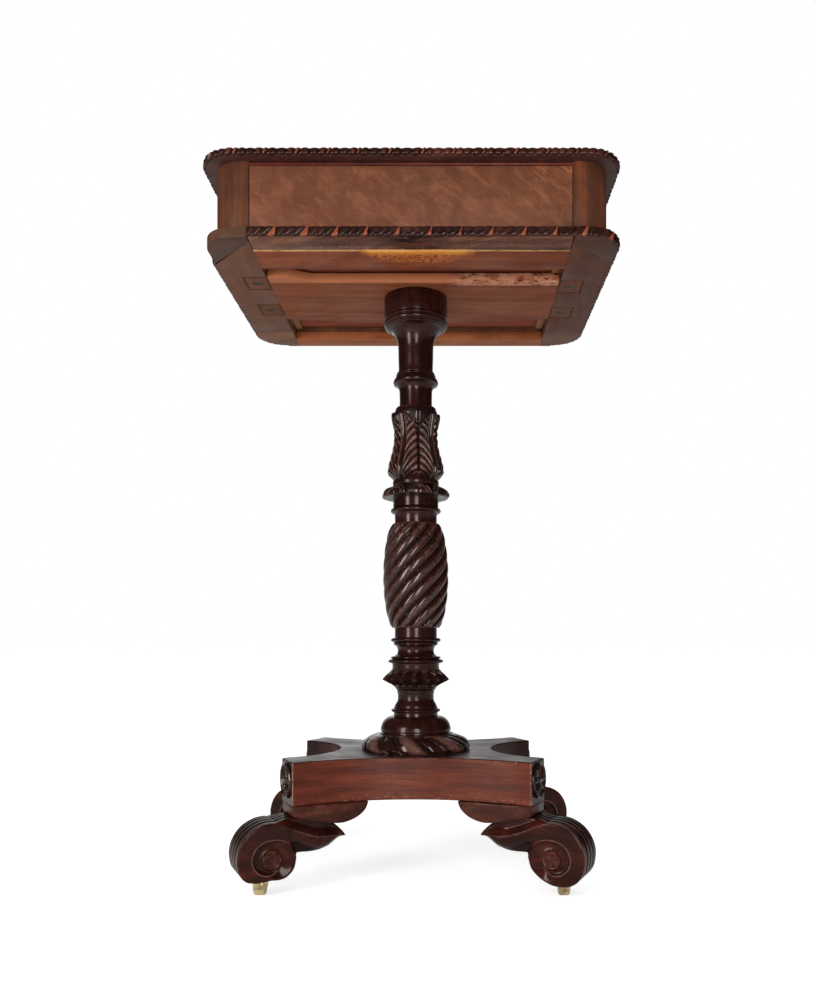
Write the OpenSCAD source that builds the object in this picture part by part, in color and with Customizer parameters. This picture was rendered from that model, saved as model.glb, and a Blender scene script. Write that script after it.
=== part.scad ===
// Lamp table with one drawer: two plates with carved rope edges, a frieze
// between them, a turned and carved column, a concave-sided platform and four
// scroll feet on sunk brass castors.
// Millimetres, +Z up, front towards -Y, origin on the floor under the column.

/* [Plates] */
// Width of the two plates, left to right
plate_w = 419; // [390:1:460]
// Depth of the two plates, front to back
plate_d = 311; // [290:1:340]
// Corner radius of the plates
plate_corner = 36; // [30:1:44]
// Thickness of the top plate
top_t = 7; // [6:0.5:12]
// Thickness of the boards under the frieze
lower_t = 10; // [9:0.5:14]
// How far the carved rope stands out from a board's edge
rope_out = 3; // [2:0.5:4]
// Spacing of the rope's strands along the edge
rope_pitch = 10.1; // [8:0.1:14]
// Depth of the valley between two strands
rope_cut = 1.5; // [0.8:0.1:1.8]
// Glue line between the rope and the board
rope_seat = 0.06; // [0.05:0.01:0.2]

/* [Frieze] */
// Height of the frieze between the plates
frieze_h = 69; // [60:1:90]
// How far the plates overhang the frieze
overhang = 12.5; // [6:0.5:14]
// Corner radius of the frieze
case_corner = 30; // [20:1:34]
// Width of a corner stile
stile_w = 37.5; // [35:0.5:45]
// Thickness of the side and back panels
panel_t = 12; // [8:1:16]
// Height of the bead rail over the drawer
top_rail_h = 4.5; // [3:0.5:8]
// Depth of the bead rail, front to back
top_rail_d = 22; // [14:1:26]
// Height of the guides beside the drawer
guide_h = 12; // [8:1:20]
// Thickness of the kickers over the drawer sides
kicker_t = 9; // [6:1:12]

/* [Boards under the frieze] */
// Depth of the fixed front rail
front_rail_d = 44; // [30:1:50]
// Depth of the rear rail
rear_rail_d = 25; // [16:1:26]
// Distance of the rear corner joints from the back edge
rear_joint = 53; // [44:1:60]
// Distance of the front corner joints from the front edge, at the drawer
front_joint = 15; // [8:1:20]
// Distance of the bearer board's front edge from the front edge of the plate
bearer_front = 108; // [98:1:112]
// Depth of the bearer board at its middle
bearer_d = 120; // [100:1:128]
// How much the bearer board draws in at the back of each end
bearer_bow = 12; // [4:1:14]
// Depth of a lapped tab
tab_d = 32; // [24:1:36]
// Length of a lapped tab
tab_l = 25; // [16:1:30]
// How far the bearer board's front edge steps forward beside the left joint
bearer_step = 3; // [0:0.5:6]
// Distance of that step from the joint, and its length
step_run = 24; // [18:1:30]
// Distance between the two tabs of one end, front edge to front edge
tab_pitch = 74; // [68:1:80]
// How far the left tabs lie in front of the right ones
tab_skew = 9; // [0:1:12]

/* [Drawer] */
// Running gap round the drawer
drawer_gap = 0.5; // [0.3:0.1:1]
// Thickness of the drawer front
drawer_front_t = 18; // [14:1:22]
// Thickness of the drawer sides and back
drawer_side_t = 8; // [6:0.5:11]
// Thickness of the drawer bottom
drawer_bottom_t = 5; // [4:0.5:7]
// Depth of the grooves that hold the drawer bottom
groove = 3; // [2:0.5:4]
// Clearance between the drawer and the back panel
drawer_back_gap = 11; // [4:1:40]
// Depth of the strip under the drawer front
strip_d = 31; // [24:0.5:34]

/* [Column] */
// Height of the collar under the bearer board
top_collar_h = 36; // [30:1:44]
// Radius of the collar under the bearer board
top_collar_r = 36; // [34:0.5:40]
// Height of the plain neck
neck_h = 90; // [80:1:110]
// Radius of the plain neck
neck_r = 20; // [18:0.5:22]
// Radius of the neck where it flares out under the collar
head_flare_r = 31.5; // [28:0.5:33]
// Height of the leaf-carved vase
vase_h = 84; // [74:1:96]
// Largest radius of the vase
vase_r = 31.8; // [29:0.1:34]
// Height of the leaf collar and rings
rings_h = 48; // [42:1:56]
// Largest radius of the leaf collar
leaf_r = 37.9; // [35:0.1:40]
// Number of leaves round the leaf collar
leaves = 8; // [6:1:12]
// Radius of the plain bands between the carved members
shaft_r = 24.1; // [22:0.1:26]
// Height of the spiral reeded baluster
baluster_h = 119.5; // [100:0.5:140]
// Largest radius of the baluster
baluster_r = 37.2; // [35:0.1:38]
// Number of spiral reeds
reeds = 12; // [9:1:16]
// Depth of the valley between two reeds
reed_cut = 3; // [2:0.5:4]
// Turn of a reed from the bottom to the top
reed_turn = 205; // [120:5:230]
// Height of the lower turning with its petal collar
lower_turn_h = 96; // [86:1:110]
// Largest radius of the fluted petal collar
petal_r = 38; // [35:0.1:41]
// Number of petals round the petal collar
petals = 16; // [12:1:20]
// Radius of the hollows of the lower turning
scotia_r = 20.6; // [19:0.1:22]
// Height of the base collar
base_collar_h = 42; // [36:1:50]
// Largest radius of the gadrooned base collar
gadroon_r = 63; // [58:0.5:68]
// Number of gadroons
gadroons = 14; // [11:1:18]
// Depth of the valley between two gadroons
gadroon_cut = 3.3; // [2:0.1:3.6]
// Turn of a gadroon from its inner to its outer end
swirl = 26; // [0:1:40]
// Radius of the tenon through the platform
foot_tenon_r = 17; // [14:0.5:18]
// Radius of the tenon through the bearer board
head_tenon_r = 13; // [10:0.5:15]
// Thickness of the wedge in the lower tenon
wedge_t = 3; // [2:0.5:5]

/* [Platform] */
// Thickness of the platform
platform_t = 44.5; // [38:0.5:52]
// Half width of the platform at its front corners
corner_x = 120.4; // [116:0.1:124]
// Half depth of the platform at its front corners
corner_y = 120; // [117:0.5:123]
// Half width of the platform at its side corners
side_x = 138.4; // [135:0.1:142]
// Half depth of the platform at its side corners
side_y = 80.8; // [78:0.1:84]
// Half depth of the waist, front and back
waist_y = 79.5; // [72:0.5:86]
// Half width of the waist at the sides
waist_x = 86.7; // [80:0.1:95]
// Radius of a carved roundel
roundel_r = 18.8; // [16:0.1:20]
// Thickness of a carved roundel
roundel_t = 4; // [3:0.5:6]

/* [Feet] */
// Height of the platform above the floor
foot_h = 90; // [86:0.5:100]
// Width of a foot across its tread
foot_w = 43; // [41:0.5:44]
// Length of the pad under the platform
pad_l = 82; // [74:1:88]
// Reach of the scroll's centre beyond the platform
eye_out = 20.5; // [18:0.5:23]
// Height of the scroll's centre
eye_z = 38; // [37:0.5:40]
// Radius of the scroll at its top
scroll_r = 38; // [36:0.5:40]
// Radius of the scroll on its inner side
scroll_in_r = 22; // [21:0.5:23]
// Radius of the raised eye
eye_r = 9.8; // [8:0.2:11]
// Radius of the dish round the eye
dish_r = 19.5; // [17:0.5:20.5]
// Depth of the dish round the eye
dish_depth = 2.4; // [1.5:0.1:3]
// Number of reeds along the tread
tread_reeds = 4; // [3:1:5]
// Width of a groove between two tread reeds
tread_groove = 2; // [1:0.2:3]
// Depth of a groove between two tread reeds
tread_cut = 1.8; // [1:0.2:2.4]
// Radius of a hidden dowel between foot and platform
dowel_r = 5; // [4:0.5:6]
// Length of a hidden dowel
dowel_l = 34; // [28:1:40]

/* [Castors] */
// Reach of the castor beyond the platform
castor_out = 27; // [26:0.5:30]
// Radius of the pocket that the castor turns in
pocket_r = 16.5; // [16:0.1:17]
// Height of the castor from the floor to the top of its plate
castor_h = 29; // [28:0.5:30]
// Radius of the castor wheel
wheel_r = 12; // [10.5:0.5:12]
// Width of the castor wheel
wheel_w = 11; // [9:0.5:11.5]
// Rounding of the wheel's two edges
wheel_edge = 1.8; // [1:0.1:2.5]
// Distance of the wheel's axle behind the swivel
trail = 2.5; // [1:0.5:3]
// Radius of the axle
axle_r = 1.5; // [1.2:0.1:2]
// Radius of the swivel stem
stem_r = 2.5; // [2:0.1:3]
// Radial running clearance of axle and stem
running = 0.06; // [0.03:0.01:0.09]
// Thickness of the castor plate
plate_t = 2; // [1.5:0.1:2.5]
// Thickness of a fork arm
fork_t = 1.6; // [1.2:0.1:2]
// Radius of a fork arm's end
arm_r = 3; // [2.5:0.5:4]

/* [Screws] */
// Radius of a bearer screw's head
screw_head_r = 5.6; // [4.5:0.1:6.5]
// Radius of a bearer screw's shank
screw_r = 2.2; // [1.8:0.1:2.6]
// Width of a screw's slot
screw_slot = 1.2; // [0.8:0.1:1.6]

/* [Hidden] */
$fn = 64;

left = -1;
right = 1;
front = -1;
back = 1;
fit = 0.1;
air = 0.3;
leaf_turn = 8;

// Heights of the joints from the floor up
platform_top = foot_h + platform_t;
lower_turn_z = platform_top + base_collar_h;
baluster_z = lower_turn_z + lower_turn_h;
rings_z = baluster_z + baluster_h;
vase_z = rings_z + rings_h;
neck_z = vase_z + vase_h;
collar_z = neck_z + neck_h;
lower_z = collar_z + top_collar_h;
frieze_z = lower_z + lower_t;
top_z = frieze_z + frieze_h;

// Places seen from above
half_w = plate_w / 2;
front_y = -plate_d / 2;
back_y = plate_d / 2;
case_w = half_w - overhang;
case_front = front_y + overhang;
case_back = back_y - overhang;
open_w = case_w - stile_w;
strip_back = front_y + strip_d;
rail_front = strip_back + drawer_gap;
bearer_y = front_y + bearer_front;
bearer_back = bearer_y + bearer_d;
drawer_w = open_w - drawer_gap;
drawer_front_back = case_front + drawer_front_t;
drawer_end = case_back - panel_t - drawer_back_gap;
drawer_l = drawer_end - drawer_front_back;
drawer_top = top_z - top_rail_h - drawer_gap;
drawer_in_w = drawer_w - 1 - drawer_side_t;
side_bottom = frieze_z + air;
bottom_z = frieze_z + 3;
side_top = top_z - kicker_t - drawer_gap;
guide_in = drawer_w - 0.5;

// The canted faces of the platform
cant = atan2(side_x - corner_x, corner_y - side_y);
cant_x = (corner_x + side_x) / 2;
cant_y = (corner_y + side_y) / 2;
corners = [[right, front], [left, front], [right, back], [left, back]];

// A closed skin over a stack of rings that all have the same number of points
module skin(rings) {
    m = len(rings[0]);
    n = len(rings);
    walls = [for (i = [0 : n - 2], k = [0 : m - 1])
        let (a = i * m + k, b = i * m + (k + 1) % m)
        each [[a, a + m, b + m], [a, b + m, b]]];
    first = [for (k = [0 : m - 1]) k];
    last = [for (k = [m - 1 : -1 : 0]) (n - 1) * m + k];
    polyhedron([for (r = rings) each r], concat([first, last], walls));
}

// A ring of lobes at height z. With a positive cut the lobes reach r and the valleys
// between them lie `cut` deeper; with a negative cut they are flutes between ridges
function lobed_ring(z, r, cut, lobes, steps, turn) =
    [for (i = [0 : lobes * steps - 1])
        let (a = 360 * i / (lobes * steps) + turn,
             wave = sin(180 * (i % steps) / steps),
             q = cut > 0 ? r - cut * (1 - wave) : r + cut * wave)
        [q * cos(a), q * sin(a), z]];

// Half-round bead on a wall of radius r, from height z over height h
function bead(r, z, h, out) =
    [for (a = [0 : 30 : 180]) [r + out * sin(a), z + h * (1 - cos(a)) / 2]];

// Smooth step from radius ra at height za to radius rb at height zb
function sweep(ra, za, rb, zb) =
    [for (i = [0 : 5]) let (u = i / 5)
        [ra + (rb - ra) * (1 - cos(180 * u)) / 2, za + (zb - za) * u]];

// Hollow between two members of radius r, `in` deep
function scotia(r, z, h, in) =
    [for (a = [0 : 30 : 180]) [r - in * sin(a), z + h * (1 - cos(a)) / 2]];

// A solid turned to a profile of [radius, height] points
module turned(profile) {
    low = profile[0][1];
    high = profile[len(profile) - 1][1];
    rotate_extrude() polygon(concat([[0, low]], profile, [[0, high]]));
}

// Outline of a plate with its carved edge, seen from above
module plate_outline(inset) {
    w = plate_w - 2 * inset;
    d = plate_d - 2 * inset;
    r = plate_corner - inset;
    square([w - 2 * r, d], center = true);
    square([w, d - 2 * r], center = true);
    for (c = corners)
        translate([c[0] * (w / 2 - r), c[1] * (d / 2 - r)]) circle(r);
}

// A board's outline inside the rope; the back edge has no rope
module board_outline() {
    plate_outline(rope_out);
    translate([0, back_y - rope_out]) square([plate_w - 2 * plate_corner, 2 * rope_out], center = true);
}

// Lengths along the carved edge, from the back right corner round to the back left
corner_len = PI / 2 * plate_corner;
side_len = plate_d - 2 * plate_corner;
front_len = plate_w - 2 * plate_corner;
edge_len = 4 * corner_len + 2 * side_len + front_len;
turn_x = half_w - plate_corner;
turn_y = back_y - plate_corner;
s_side = corner_len;
s_front_corner = s_side + side_len;
s_front = s_front_corner + corner_len;
s_left_corner = s_front + front_len;
s_left = s_left_corner + corner_len;
s_back_corner = s_left + side_len;
s_strip_right = s_front + turn_x - open_w;
s_strip_left = s_front + turn_x + open_w;

// Point of the edge at length s: [x of the turning centre, y of it, direction outwards]
function edge_at(s) =
    s < s_side ? [turn_x, turn_y, 90 - 90 * s / corner_len] :
    s < s_front_corner ? [turn_x, turn_y - (s - s_side), 0] :
    s < s_front ? [turn_x, -turn_y, -90 * (s - s_front_corner) / corner_len] :
    s < s_left_corner ? [turn_x - (s - s_front), -turn_y, -90] :
    s < s_left ? [-turn_x, -turn_y, -90 - 90 * (s - s_left_corner) / corner_len] :
    s < s_back_corner ? [-turn_x, -turn_y + (s - s_left), 180] :
    [-turn_x, turn_y, 180 - 90 * (s - s_back_corner) / corner_len];

// One cross-section of the rope at length s, on a board of thickness t at height z
function rope_ring(s, z, t) =
    let (e = edge_at(s))
    [for (a = [-90 : 45 : 90])
        let (u = s / rope_pitch + sin(a) / 2,
             w = u - floor(u),
             out = (rope_out - rope_cut * (1 - sin(180 * w))) * cos(a),
             r = plate_corner - rope_out + max(out, rope_seat))
        [e[0] + r * cos(e[2]), e[1] + r * sin(e[2]), z + t / 2 * (1 + sin(a))]];

// The carved rope from length a to length b of the edge
module rope(a, b, z, t) {
    strands = max(1, round((b - a) / rope_pitch));
    steps = 3 * strands;
    skin([for (i = [0 : steps]) rope_ring(a + (b - a) * i / steps, z, t)]);
}

// The boards of the case
module top_board() {
    color("#5a2a18") translate([0, 0, top_z]) linear_extrude(top_t) board_outline();
}

module top_rope() {
    color("#3a1810") rope(0, edge_len, top_z, top_t);
}

module stile(side, end) {
    color("#6b3520") translate([0, 0, frieze_z]) linear_extrude(frieze_h) intersection() {
        union() {
            square([2 * (case_w - case_corner), 2 * case_back], center = true);
            square([2 * case_w, 2 * (case_back - case_corner)], center = true);
            for (c = corners)
                translate([c[0] * (case_w - case_corner), c[1] * (case_back - case_corner)]) circle(case_corner);
        }
        translate([side * (case_w + open_w) / 2, end * (case_back - stile_w / 2)])
            square(stile_w, center = true);
    }
}

module side_panel(side) {
    l = 2 * (case_back - stile_w);
    color("#6b3520") translate([side * (case_w - panel_t / 2), 0, frieze_z + frieze_h / 2])
        cube([panel_t, l, frieze_h], center = true);
}

module back_panel() {
    color("#6b3520") translate([-open_w, case_back - panel_t, frieze_z])
        cube([2 * open_w, panel_t, frieze_h]);
}

// The rail over the drawer, with its rounded front bead
module top_rail() {
    r = top_rail_h / 2;
    color("#7a3a20") translate([-open_w, case_front, top_z - top_rail_h]) {
        translate([0, r, 0]) cube([2 * open_w, top_rail_d - r, top_rail_h]);
        translate([0, r, r]) rotate([0, 90, 0]) cylinder(r = r, h = 2 * open_w);
    }
}

// Seen from above, the part of a side that is cut off by the front corner joint
module front_corner_region(side) {
    y = front_y + front_joint;
    reach = half_w - open_w;
    polygon([[side * open_w, front_y - 1], [side * open_w, y],
        [side * (half_w + 1), y + reach + 1], [side * (half_w + 1), front_y - 1]]);
}

module back_corner_region(side) {
    translate([side * (open_w + half_w + 1) / 2, back_y - rear_joint / 2 + 0.5])
        square([half_w + 1 - open_w, rear_joint + 1], center = true);
}

module side_region(side) {
    difference() {
        translate([side * (open_w + half_w + 1) / 2, 0])
            square([half_w + 1 - open_w, plate_d + 2], center = true);
        front_corner_region(side);
        back_corner_region(side);
    }
}

// Front edge of the front tab at one end of the bearer board
function tab_y(side) = bearer_y - bearer_step - tab_skew + (side + 1) / 2 * tab_skew;

// The lapped tabs at one end, seen from above, with a clearance round them
module tab_outline(side, gap) {
    for (i = [0, 1])
        translate([side * (open_w + tab_l / 2), tab_y(side) + i * tab_pitch + tab_d / 2])
            square([tab_l + 2 * gap, tab_d + 2 * gap], center = true);
}

module screw_places(side) {
    for (i = [0, 1])
        translate([side * (open_w + tab_l / 2), tab_y(side) + i * tab_pitch + tab_d / 2, lower_z])
            children();
}

module side_rail(side) {
    tab_t = lower_t / 2;
    color("#5d3526") difference() {
        translate([0, 0, lower_z]) linear_extrude(lower_t) intersection() {
            board_outline();
            side_region(side);
        }
        translate([0, 0, lower_z - 1]) linear_extrude(1 + tab_t + fit) tab_outline(side, fit);
        screw_places(side) cylinder(r = screw_r + fit, h = lower_t - 1);
    }
}

// The left front corner is worn smooth; the others carry the rope
module corner_front_left() {
    color("#4f3026") translate([0, 0, lower_z]) linear_extrude(lower_t) intersection() {
        plate_outline(0);
        front_corner_region(left);
    }
}

module corner_front_right() {
    color("#4f3026") translate([0, 0, lower_z]) linear_extrude(lower_t) intersection() {
        board_outline();
        front_corner_region(right);
    }
}

module corner_back(side) {
    color("#4f3026") translate([0, 0, lower_z]) linear_extrude(lower_t) intersection() {
        board_outline();
        back_corner_region(side);
    }
}

module lower_rope_right() {
    color("#3a1810") rope(0, s_strip_right, lower_z, lower_t);
}

// On the left the rope ends where the front corner joint meets the edge
module lower_rope_left() {
    joint = front_joint + half_w - open_w;
    color("#3a1810") rope(s_left + joint - plate_corner, edge_len, lower_z, lower_t);
}

module front_rail() {
    color("#7a4227") translate([-open_w, rail_front, lower_z])
        cube([2 * open_w, front_rail_d, lower_t]);
}

module rear_rail() {
    color("#8a4a28") translate([-open_w, back_y - rear_rail_d, lower_z])
        cube([2 * open_w, rear_rail_d, lower_t]);
}

// The board that carries the column, lapped into both side rails
module bearer_board() {
    bow = bearer_back - bearer_bow;
    nose_l = bearer_y - bearer_step - tab_skew;
    nose_w = open_w - step_run;
    color("#7b4a33") difference() {
        translate([0, 0, lower_z]) {
            linear_extrude(lower_t) polygon([
                [-open_w, nose_l], [-nose_w, nose_l], [-nose_w + step_run, bearer_y],
                [open_w, bearer_y], [open_w, bow], [open_w * 0.4, bearer_back],
                [-open_w * 0.4, bearer_back], [-open_w, bow]]);
            for (side = [left, right]) linear_extrude(lower_t / 2) intersection() {
                tab_outline(side, 0);
                translate([side * (open_w + tab_l / 2 - fit / 2), 0]) square([tab_l + fit, plate_d], center = true);
            }
        }
        for (side = [left, right]) screw_places(side) screw_hole();
        translate([0, 0, lower_z - 1]) cylinder(r = head_tenon_r + fit, h = lower_t + 2);
    }
}

// Countersunk hole that opens downwards at z = 0
module screw_hole() {
    head_h = screw_head_r - screw_r;
    translate([0, 0, -1]) cylinder(r = screw_r + fit, h = lower_t);
    translate([0, 0, -1]) cylinder(r = screw_head_r + fit, h = 1 + fit);
    translate([0, 0, fit]) cylinder(r1 = screw_head_r + fit, r2 = screw_r + fit, h = head_h);
}

module bearer_screws() {
    head_h = screw_head_r - screw_r;
    color("#4a4038") for (side = [left, right]) screw_places(side) difference() {
        union() {
            cylinder(r1 = screw_head_r, r2 = screw_r, h = head_h);
            cylinder(r = screw_r, h = lower_t - 1.5);
        }
        translate([-screw_head_r - 1, -screw_slot / 2, -1]) cube([2 * screw_head_r + 2, screw_slot, 2.2]);
    }
}

module guide(side) {
    l = 2 * (case_back - stile_w);
    color("#8c6a48") translate([side > 0 ? guide_in : panel_t - case_w, -l / 2, frieze_z])
        cube([case_w - panel_t - guide_in, l, guide_h]);
}

module kicker(side) {
    l = 2 * (case_back - stile_w);
    w = case_w - panel_t - drawer_in_w;
    color("#8c6a48") translate([side > 0 ? drawer_in_w : panel_t - case_w, -l / 2, top_z - kicker_t])
        cube([w, l, kicker_t]);
}

// The drawer
module drawer_front() {
    color("#8a4a2a") difference() {
        translate([-drawer_w, case_front, frieze_z]) cube([2 * drawer_w, drawer_front_t, drawer_top - frieze_z]);
        translate([0, 0, bottom_z]) groove_space();
    }
}

module drawer_strip() {
    color("#5d3526") translate([-drawer_w, front_y + rope_out, lower_z])
        cube([2 * drawer_w, strip_back - front_y - rope_out, lower_t]);
}

module drawer_rope() {
    color("#3a1810") rope(s_strip_right + drawer_gap, s_strip_left - drawer_gap, lower_z, lower_t);
}

// The space of the drawer bottom with a fit round it
module groove_space() {
    translate([-drawer_in_w - groove - fit, drawer_front_back - groove - fit, -fit])
        cube([2 * (drawer_in_w + groove + fit), drawer_l + groove + 2 * fit, drawer_bottom_t + 2 * fit]);
}

module drawer_side(side) {
    color("#9a6a45") difference() {
        translate([side > 0 ? drawer_in_w : -drawer_in_w - drawer_side_t, drawer_front_back, side_bottom])
            cube([drawer_side_t, drawer_l, side_top - side_bottom]);
        translate([0, 0, bottom_z]) groove_space();
    }
}

module drawer_back() {
    z = bottom_z + drawer_bottom_t + fit;
    color("#9a6a45") translate([-drawer_in_w, drawer_end - drawer_side_t, z])
        cube([2 * drawer_in_w, drawer_side_t, side_top - z]);
}

module drawer_bottom() {
    color("#6e4a34") translate([-drawer_in_w - groove, drawer_front_back - groove, bottom_z])
        cube([2 * (drawer_in_w + groove), drawer_l + groove, drawer_bottom_t]);
}

// The column, one length of turned and carved mahogany. Turned and carved members
// meet on flat rings, so each is drawn by itself and stacked on the last.
function torus_profile() =
    let (z = lower_turn_z, h = petal_z - lower_turn_z, r = shaft_r)
    concat(
        [[r + 1.4, z]],
        bead(r + 0.6, z, h * 0.15, 3.4),
        [[r, z + h * 0.17], [r + 0.4, z + h * 0.2]],
        sweep(r + 0.4, z + h * 0.24, scotia_r, z + h * 0.55),
        [[scotia_r, z + h * 0.75], [scotia_r + 0.8, z + h * 0.87], [scotia_r + 2.2, z + h]]);

// The fluted petal collar
petal_z = lower_turn_z + lower_turn_h * 0.29;
petal_h = lower_turn_h * 0.22;
function petal_rings() =
    [for (p = [[-14.8, 0, 0.3], [-8, 0.24, 1.4], [-1, 0.4, 3.2], [0, 0.46, 3.4],
               [-3.8, 0.67, 2.8], [-8, 0.86, 1.6], [-9.8, 1, 0.3]])
        lobed_ring(petal_z + petal_h * p[1], petal_r + p[0], -p[2], petals, 4, 0)];

function ring_profile() =
    let (z = petal_z + petal_h, h = baluster_z - z, r = shaft_r)
    concat(
        [[r + 2.6, z], [r + 3, z + h * 0.15]],
        bead(r + 3.4, z + h * 0.16, h * 0.08, 4.2),
        bead(r + 2, z + h * 0.25, h * 0.06, 2.4),
        scotia(r + 0.6, z + h * 0.32, h * 0.27, r + 0.6 - scotia_r),
        bead(r, z + h * 0.59, h * 0.06, 1.4),
        bead(r + 0.5, z + h * 0.66, h * 0.1, 4),
        [[r, z + h * 0.78], [r, z + h]]);

// Radius of the baluster at the share u of its height
function baluster_radius(u) =
    shaft_r + 0.6 + (baluster_r - shaft_r - 0.6) * pow(sin(180 * u), 0.45);

function baluster_rings() =
    [for (i = [0 : 24])
        let (t = i / 24, u = t / 2 + (1 - cos(180 * t)) / 4)
        lobed_ring(baluster_z + baluster_h * u, baluster_radius(u),
            reed_cut * min(1, 9 * u + 0.06, 9 * (1 - u) + 0.06), reeds, 6, reed_turn * u)];

function band_profile() =
    let (z = rings_z, h = leaf_z - rings_z, r = shaft_r)
    concat(
        [[r, z], [r, z + h * 0.38]],
        bead(r + 0.3, z + h * 0.4, h * 0.22, 4.2),
        [[r + 1.8, z + h * 0.64], [r + 1.8, z + h]]);

// The flaring leaf collar above the baluster, flat underneath
leaf_z = rings_z + rings_h * 0.61;
function leaf_collar_rings() =
    let (h = vase_z - leaf_z)
    [for (p = [[-0.9, 0, 2.4], [0, 0.16, 3], [-0.4, 0.3, 3], [-3.6, 0.55, 2.8], [-9, 0.78, 1.6],
               [-12, 0.9, 0.6], [-12.4, 1, 0.2]])
        lobed_ring(leaf_z + h * p[1], leaf_r + p[0], p[2], leaves, 8, leaf_turn)];

// The vase, wrapped in four upright leaves with a stalk between each two
function vase_rings() =
    [for (p = [[-5.8, 0, 0.3], [-1.2, 0.07, 2], [0, 0.16, 2.8], [-0.9, 0.25, 2.8], [-4.2, 0.38, 2.4],
               [-6.6, 0.5, 2.2], [-6.9, 0.68, 2.2], [-4.6, 0.8, 2.8], [-3.6, 0.88, 3], [-4.4, 0.95, 1.6],
               [-8, 1, 0.3]])
        lobed_ring(vase_z + vase_h * p[1], vase_r + p[0], p[2], 12, 4, leaf_turn)];

function neck_profile() =
    let (z = neck_z, h = neck_h, r = neck_r)
    concat(
        [[r - 1.3, z]],
        cove(r - 1.3, z + h * 0.2, r + 4.6, z + h * 0.3),
        [[r + 5.6, z + h * 0.32], [r + 5.3, z + h * 0.345], [r + 3, z + h * 0.39]],
        bead(r + 1.2, z + h * 0.4, h * 0.04, 1.4),
        [[r - 0.3, z + h * 0.45]],
        sweep(r - 0.3, z + h * 0.5, r, z + h * 0.7),
        cove(r, z + h * 0.74, head_flare_r, z + h));

// Hollow quarter curve that starts upright at radius ra and ends level at radius rb
function cove(ra, za, rb, zb) =
    [for (a = [0 : 15 : 90]) [ra + (rb - ra) * (1 - cos(a)), za + (zb - za) * sin(a)]];

module column() {
    color("#2e1410") difference() {
        union() {
            translate([0, 0, foot_h + 2]) cylinder(r = foot_tenon_r, h = lower_turn_z - foot_h - 2);
            turned(torus_profile());
            skin(petal_rings());
            turned(ring_profile());
            skin(baluster_rings());
            turned(band_profile());
            skin(leaf_collar_rings());
            skin(vase_rings());
            turned(neck_profile());
            translate([0, 0, collar_z]) cylinder(r = head_tenon_r, h = frieze_z - collar_z);
        }
        translate([-foot_tenon_r - 1, -wedge_t / 2 - fit, foot_h]) cube([2 * foot_tenon_r + 2, wedge_t + 2 * fit, 26]);
    }
}

// The wedge that spreads the tenon from below
module tenon_wedge() {
    color("#8c6a48") translate([-foot_tenon_r + 1, -wedge_t / 2, foot_h + 2])
        cube([2 * foot_tenon_r - 2, wedge_t, 22]);
}

// The collar between the column and the bearer board
module top_collar() {
    z = collar_z;
    h = top_collar_h;
    r = top_collar_r;
    color("#241010") difference() {
        turned(concat(
            [[head_flare_r, z]],
            sweep(head_flare_r + 1, z + h * 0.02, r - 1, z + h * 0.1),
            bead(r - 1.4, z + h * 0.12, h * 0.12, 1.8),
            bead(r - 1.6, z + h * 0.26, h * 0.07, 1.4),
            [[r, z + h * 0.36], [r, z + h]]));
        translate([0, 0, z - 1]) cylinder(r = head_tenon_r + fit, h = h + 2);
    }
}

// The domed base collar with its ring of swirling gadroons
module base_collar() {
    z = platform_top;
    h = base_collar_h;
    ring_z = z + h * 0.43;
    dome_r = gadroon_r * 2 / 3;
    color("#2e1410") difference() {
        union() {
            skin([for (p = [[0.952, 0, 0.3], [1, 0.1, 0.8], [0.994, 0.2, 1], [0.937, 0.3, 1],
                            [0.841, 0.37, 0.8], [0.746, 0.41, 0.4], [0.695, 0.43, 0.1]])
                lobed_ring(z + h * p[1], gadroon_r * p[0], gadroon_cut * p[2], gadroons, 6, -swirl * p[1] / 0.43)]);
            turned(concat(
                [[dome_r, ring_z - h * 0.02], [dome_r, ring_z + h * 0.03], [dome_r * 0.93, ring_z + h * 0.05]],
                [for (a = [0 : 15 : 75]) [dome_r * (0.667 + 0.31 * cos(a)), ring_z + h * (0.08 + 0.42 * sin(a))]],
                [[shaft_r + 2, ring_z + h * 0.5], [shaft_r + 2, z + h]]));
        }
        translate([0, 0, z - 1]) cylinder(r = foot_tenon_r + fit, h = h + 2);
    }
}

// Circle through a waist point and two corners: [distance of its centre, radius]
function waist_arc(waist, corner, reach) =
    let (rise = corner - waist, r = (reach * reach + rise * rise) / (2 * rise))
    [waist + r, r];

module platform_outline() {
    fb = waist_arc(waist_y, corner_y, corner_x);
    lr = waist_arc(waist_x, side_x, side_y);
    difference() {
        polygon([[corner_x, -corner_y], [side_x, -side_y], [side_x, side_y], [corner_x, corner_y],
            [-corner_x, corner_y], [-side_x, side_y], [-side_x, -side_y], [-corner_x, -corner_y]]);
        for (s = [-1, 1]) {
            translate([0, s * fb[0]]) circle(fb[1], $fn = 128);
            translate([s * lr[0], 0]) circle(lr[1], $fn = 128);
        }
    }
}

// Puts what is drawn along +X, from the middle of a canted face, at one corner
module at_corner(c) {
    turn = c[0] > 0 ? c[1] * cant : 180 - c[1] * cant;
    translate([c[0] * cant_x, c[1] * cant_y, 0]) rotate([0, 0, turn]) children();
}

module dowel_places() {
    for (t = [-0.3, -0.72]) translate([t * pad_l, 0, 0]) children();
}

module platform() {
    color("#6b3024") difference() {
        translate([0, 0, foot_h]) linear_extrude(platform_t) platform_outline();
        translate([0, 0, foot_h - 1]) cylinder(r = foot_tenon_r + fit, h = platform_t + 2);
        for (c = corners) at_corner(c) dowel_places()
            translate([0, 0, foot_h - 1]) cylinder(r = dowel_r + fit, h = 1 + dowel_l * 0.6 + fit);
    }
}

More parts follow.
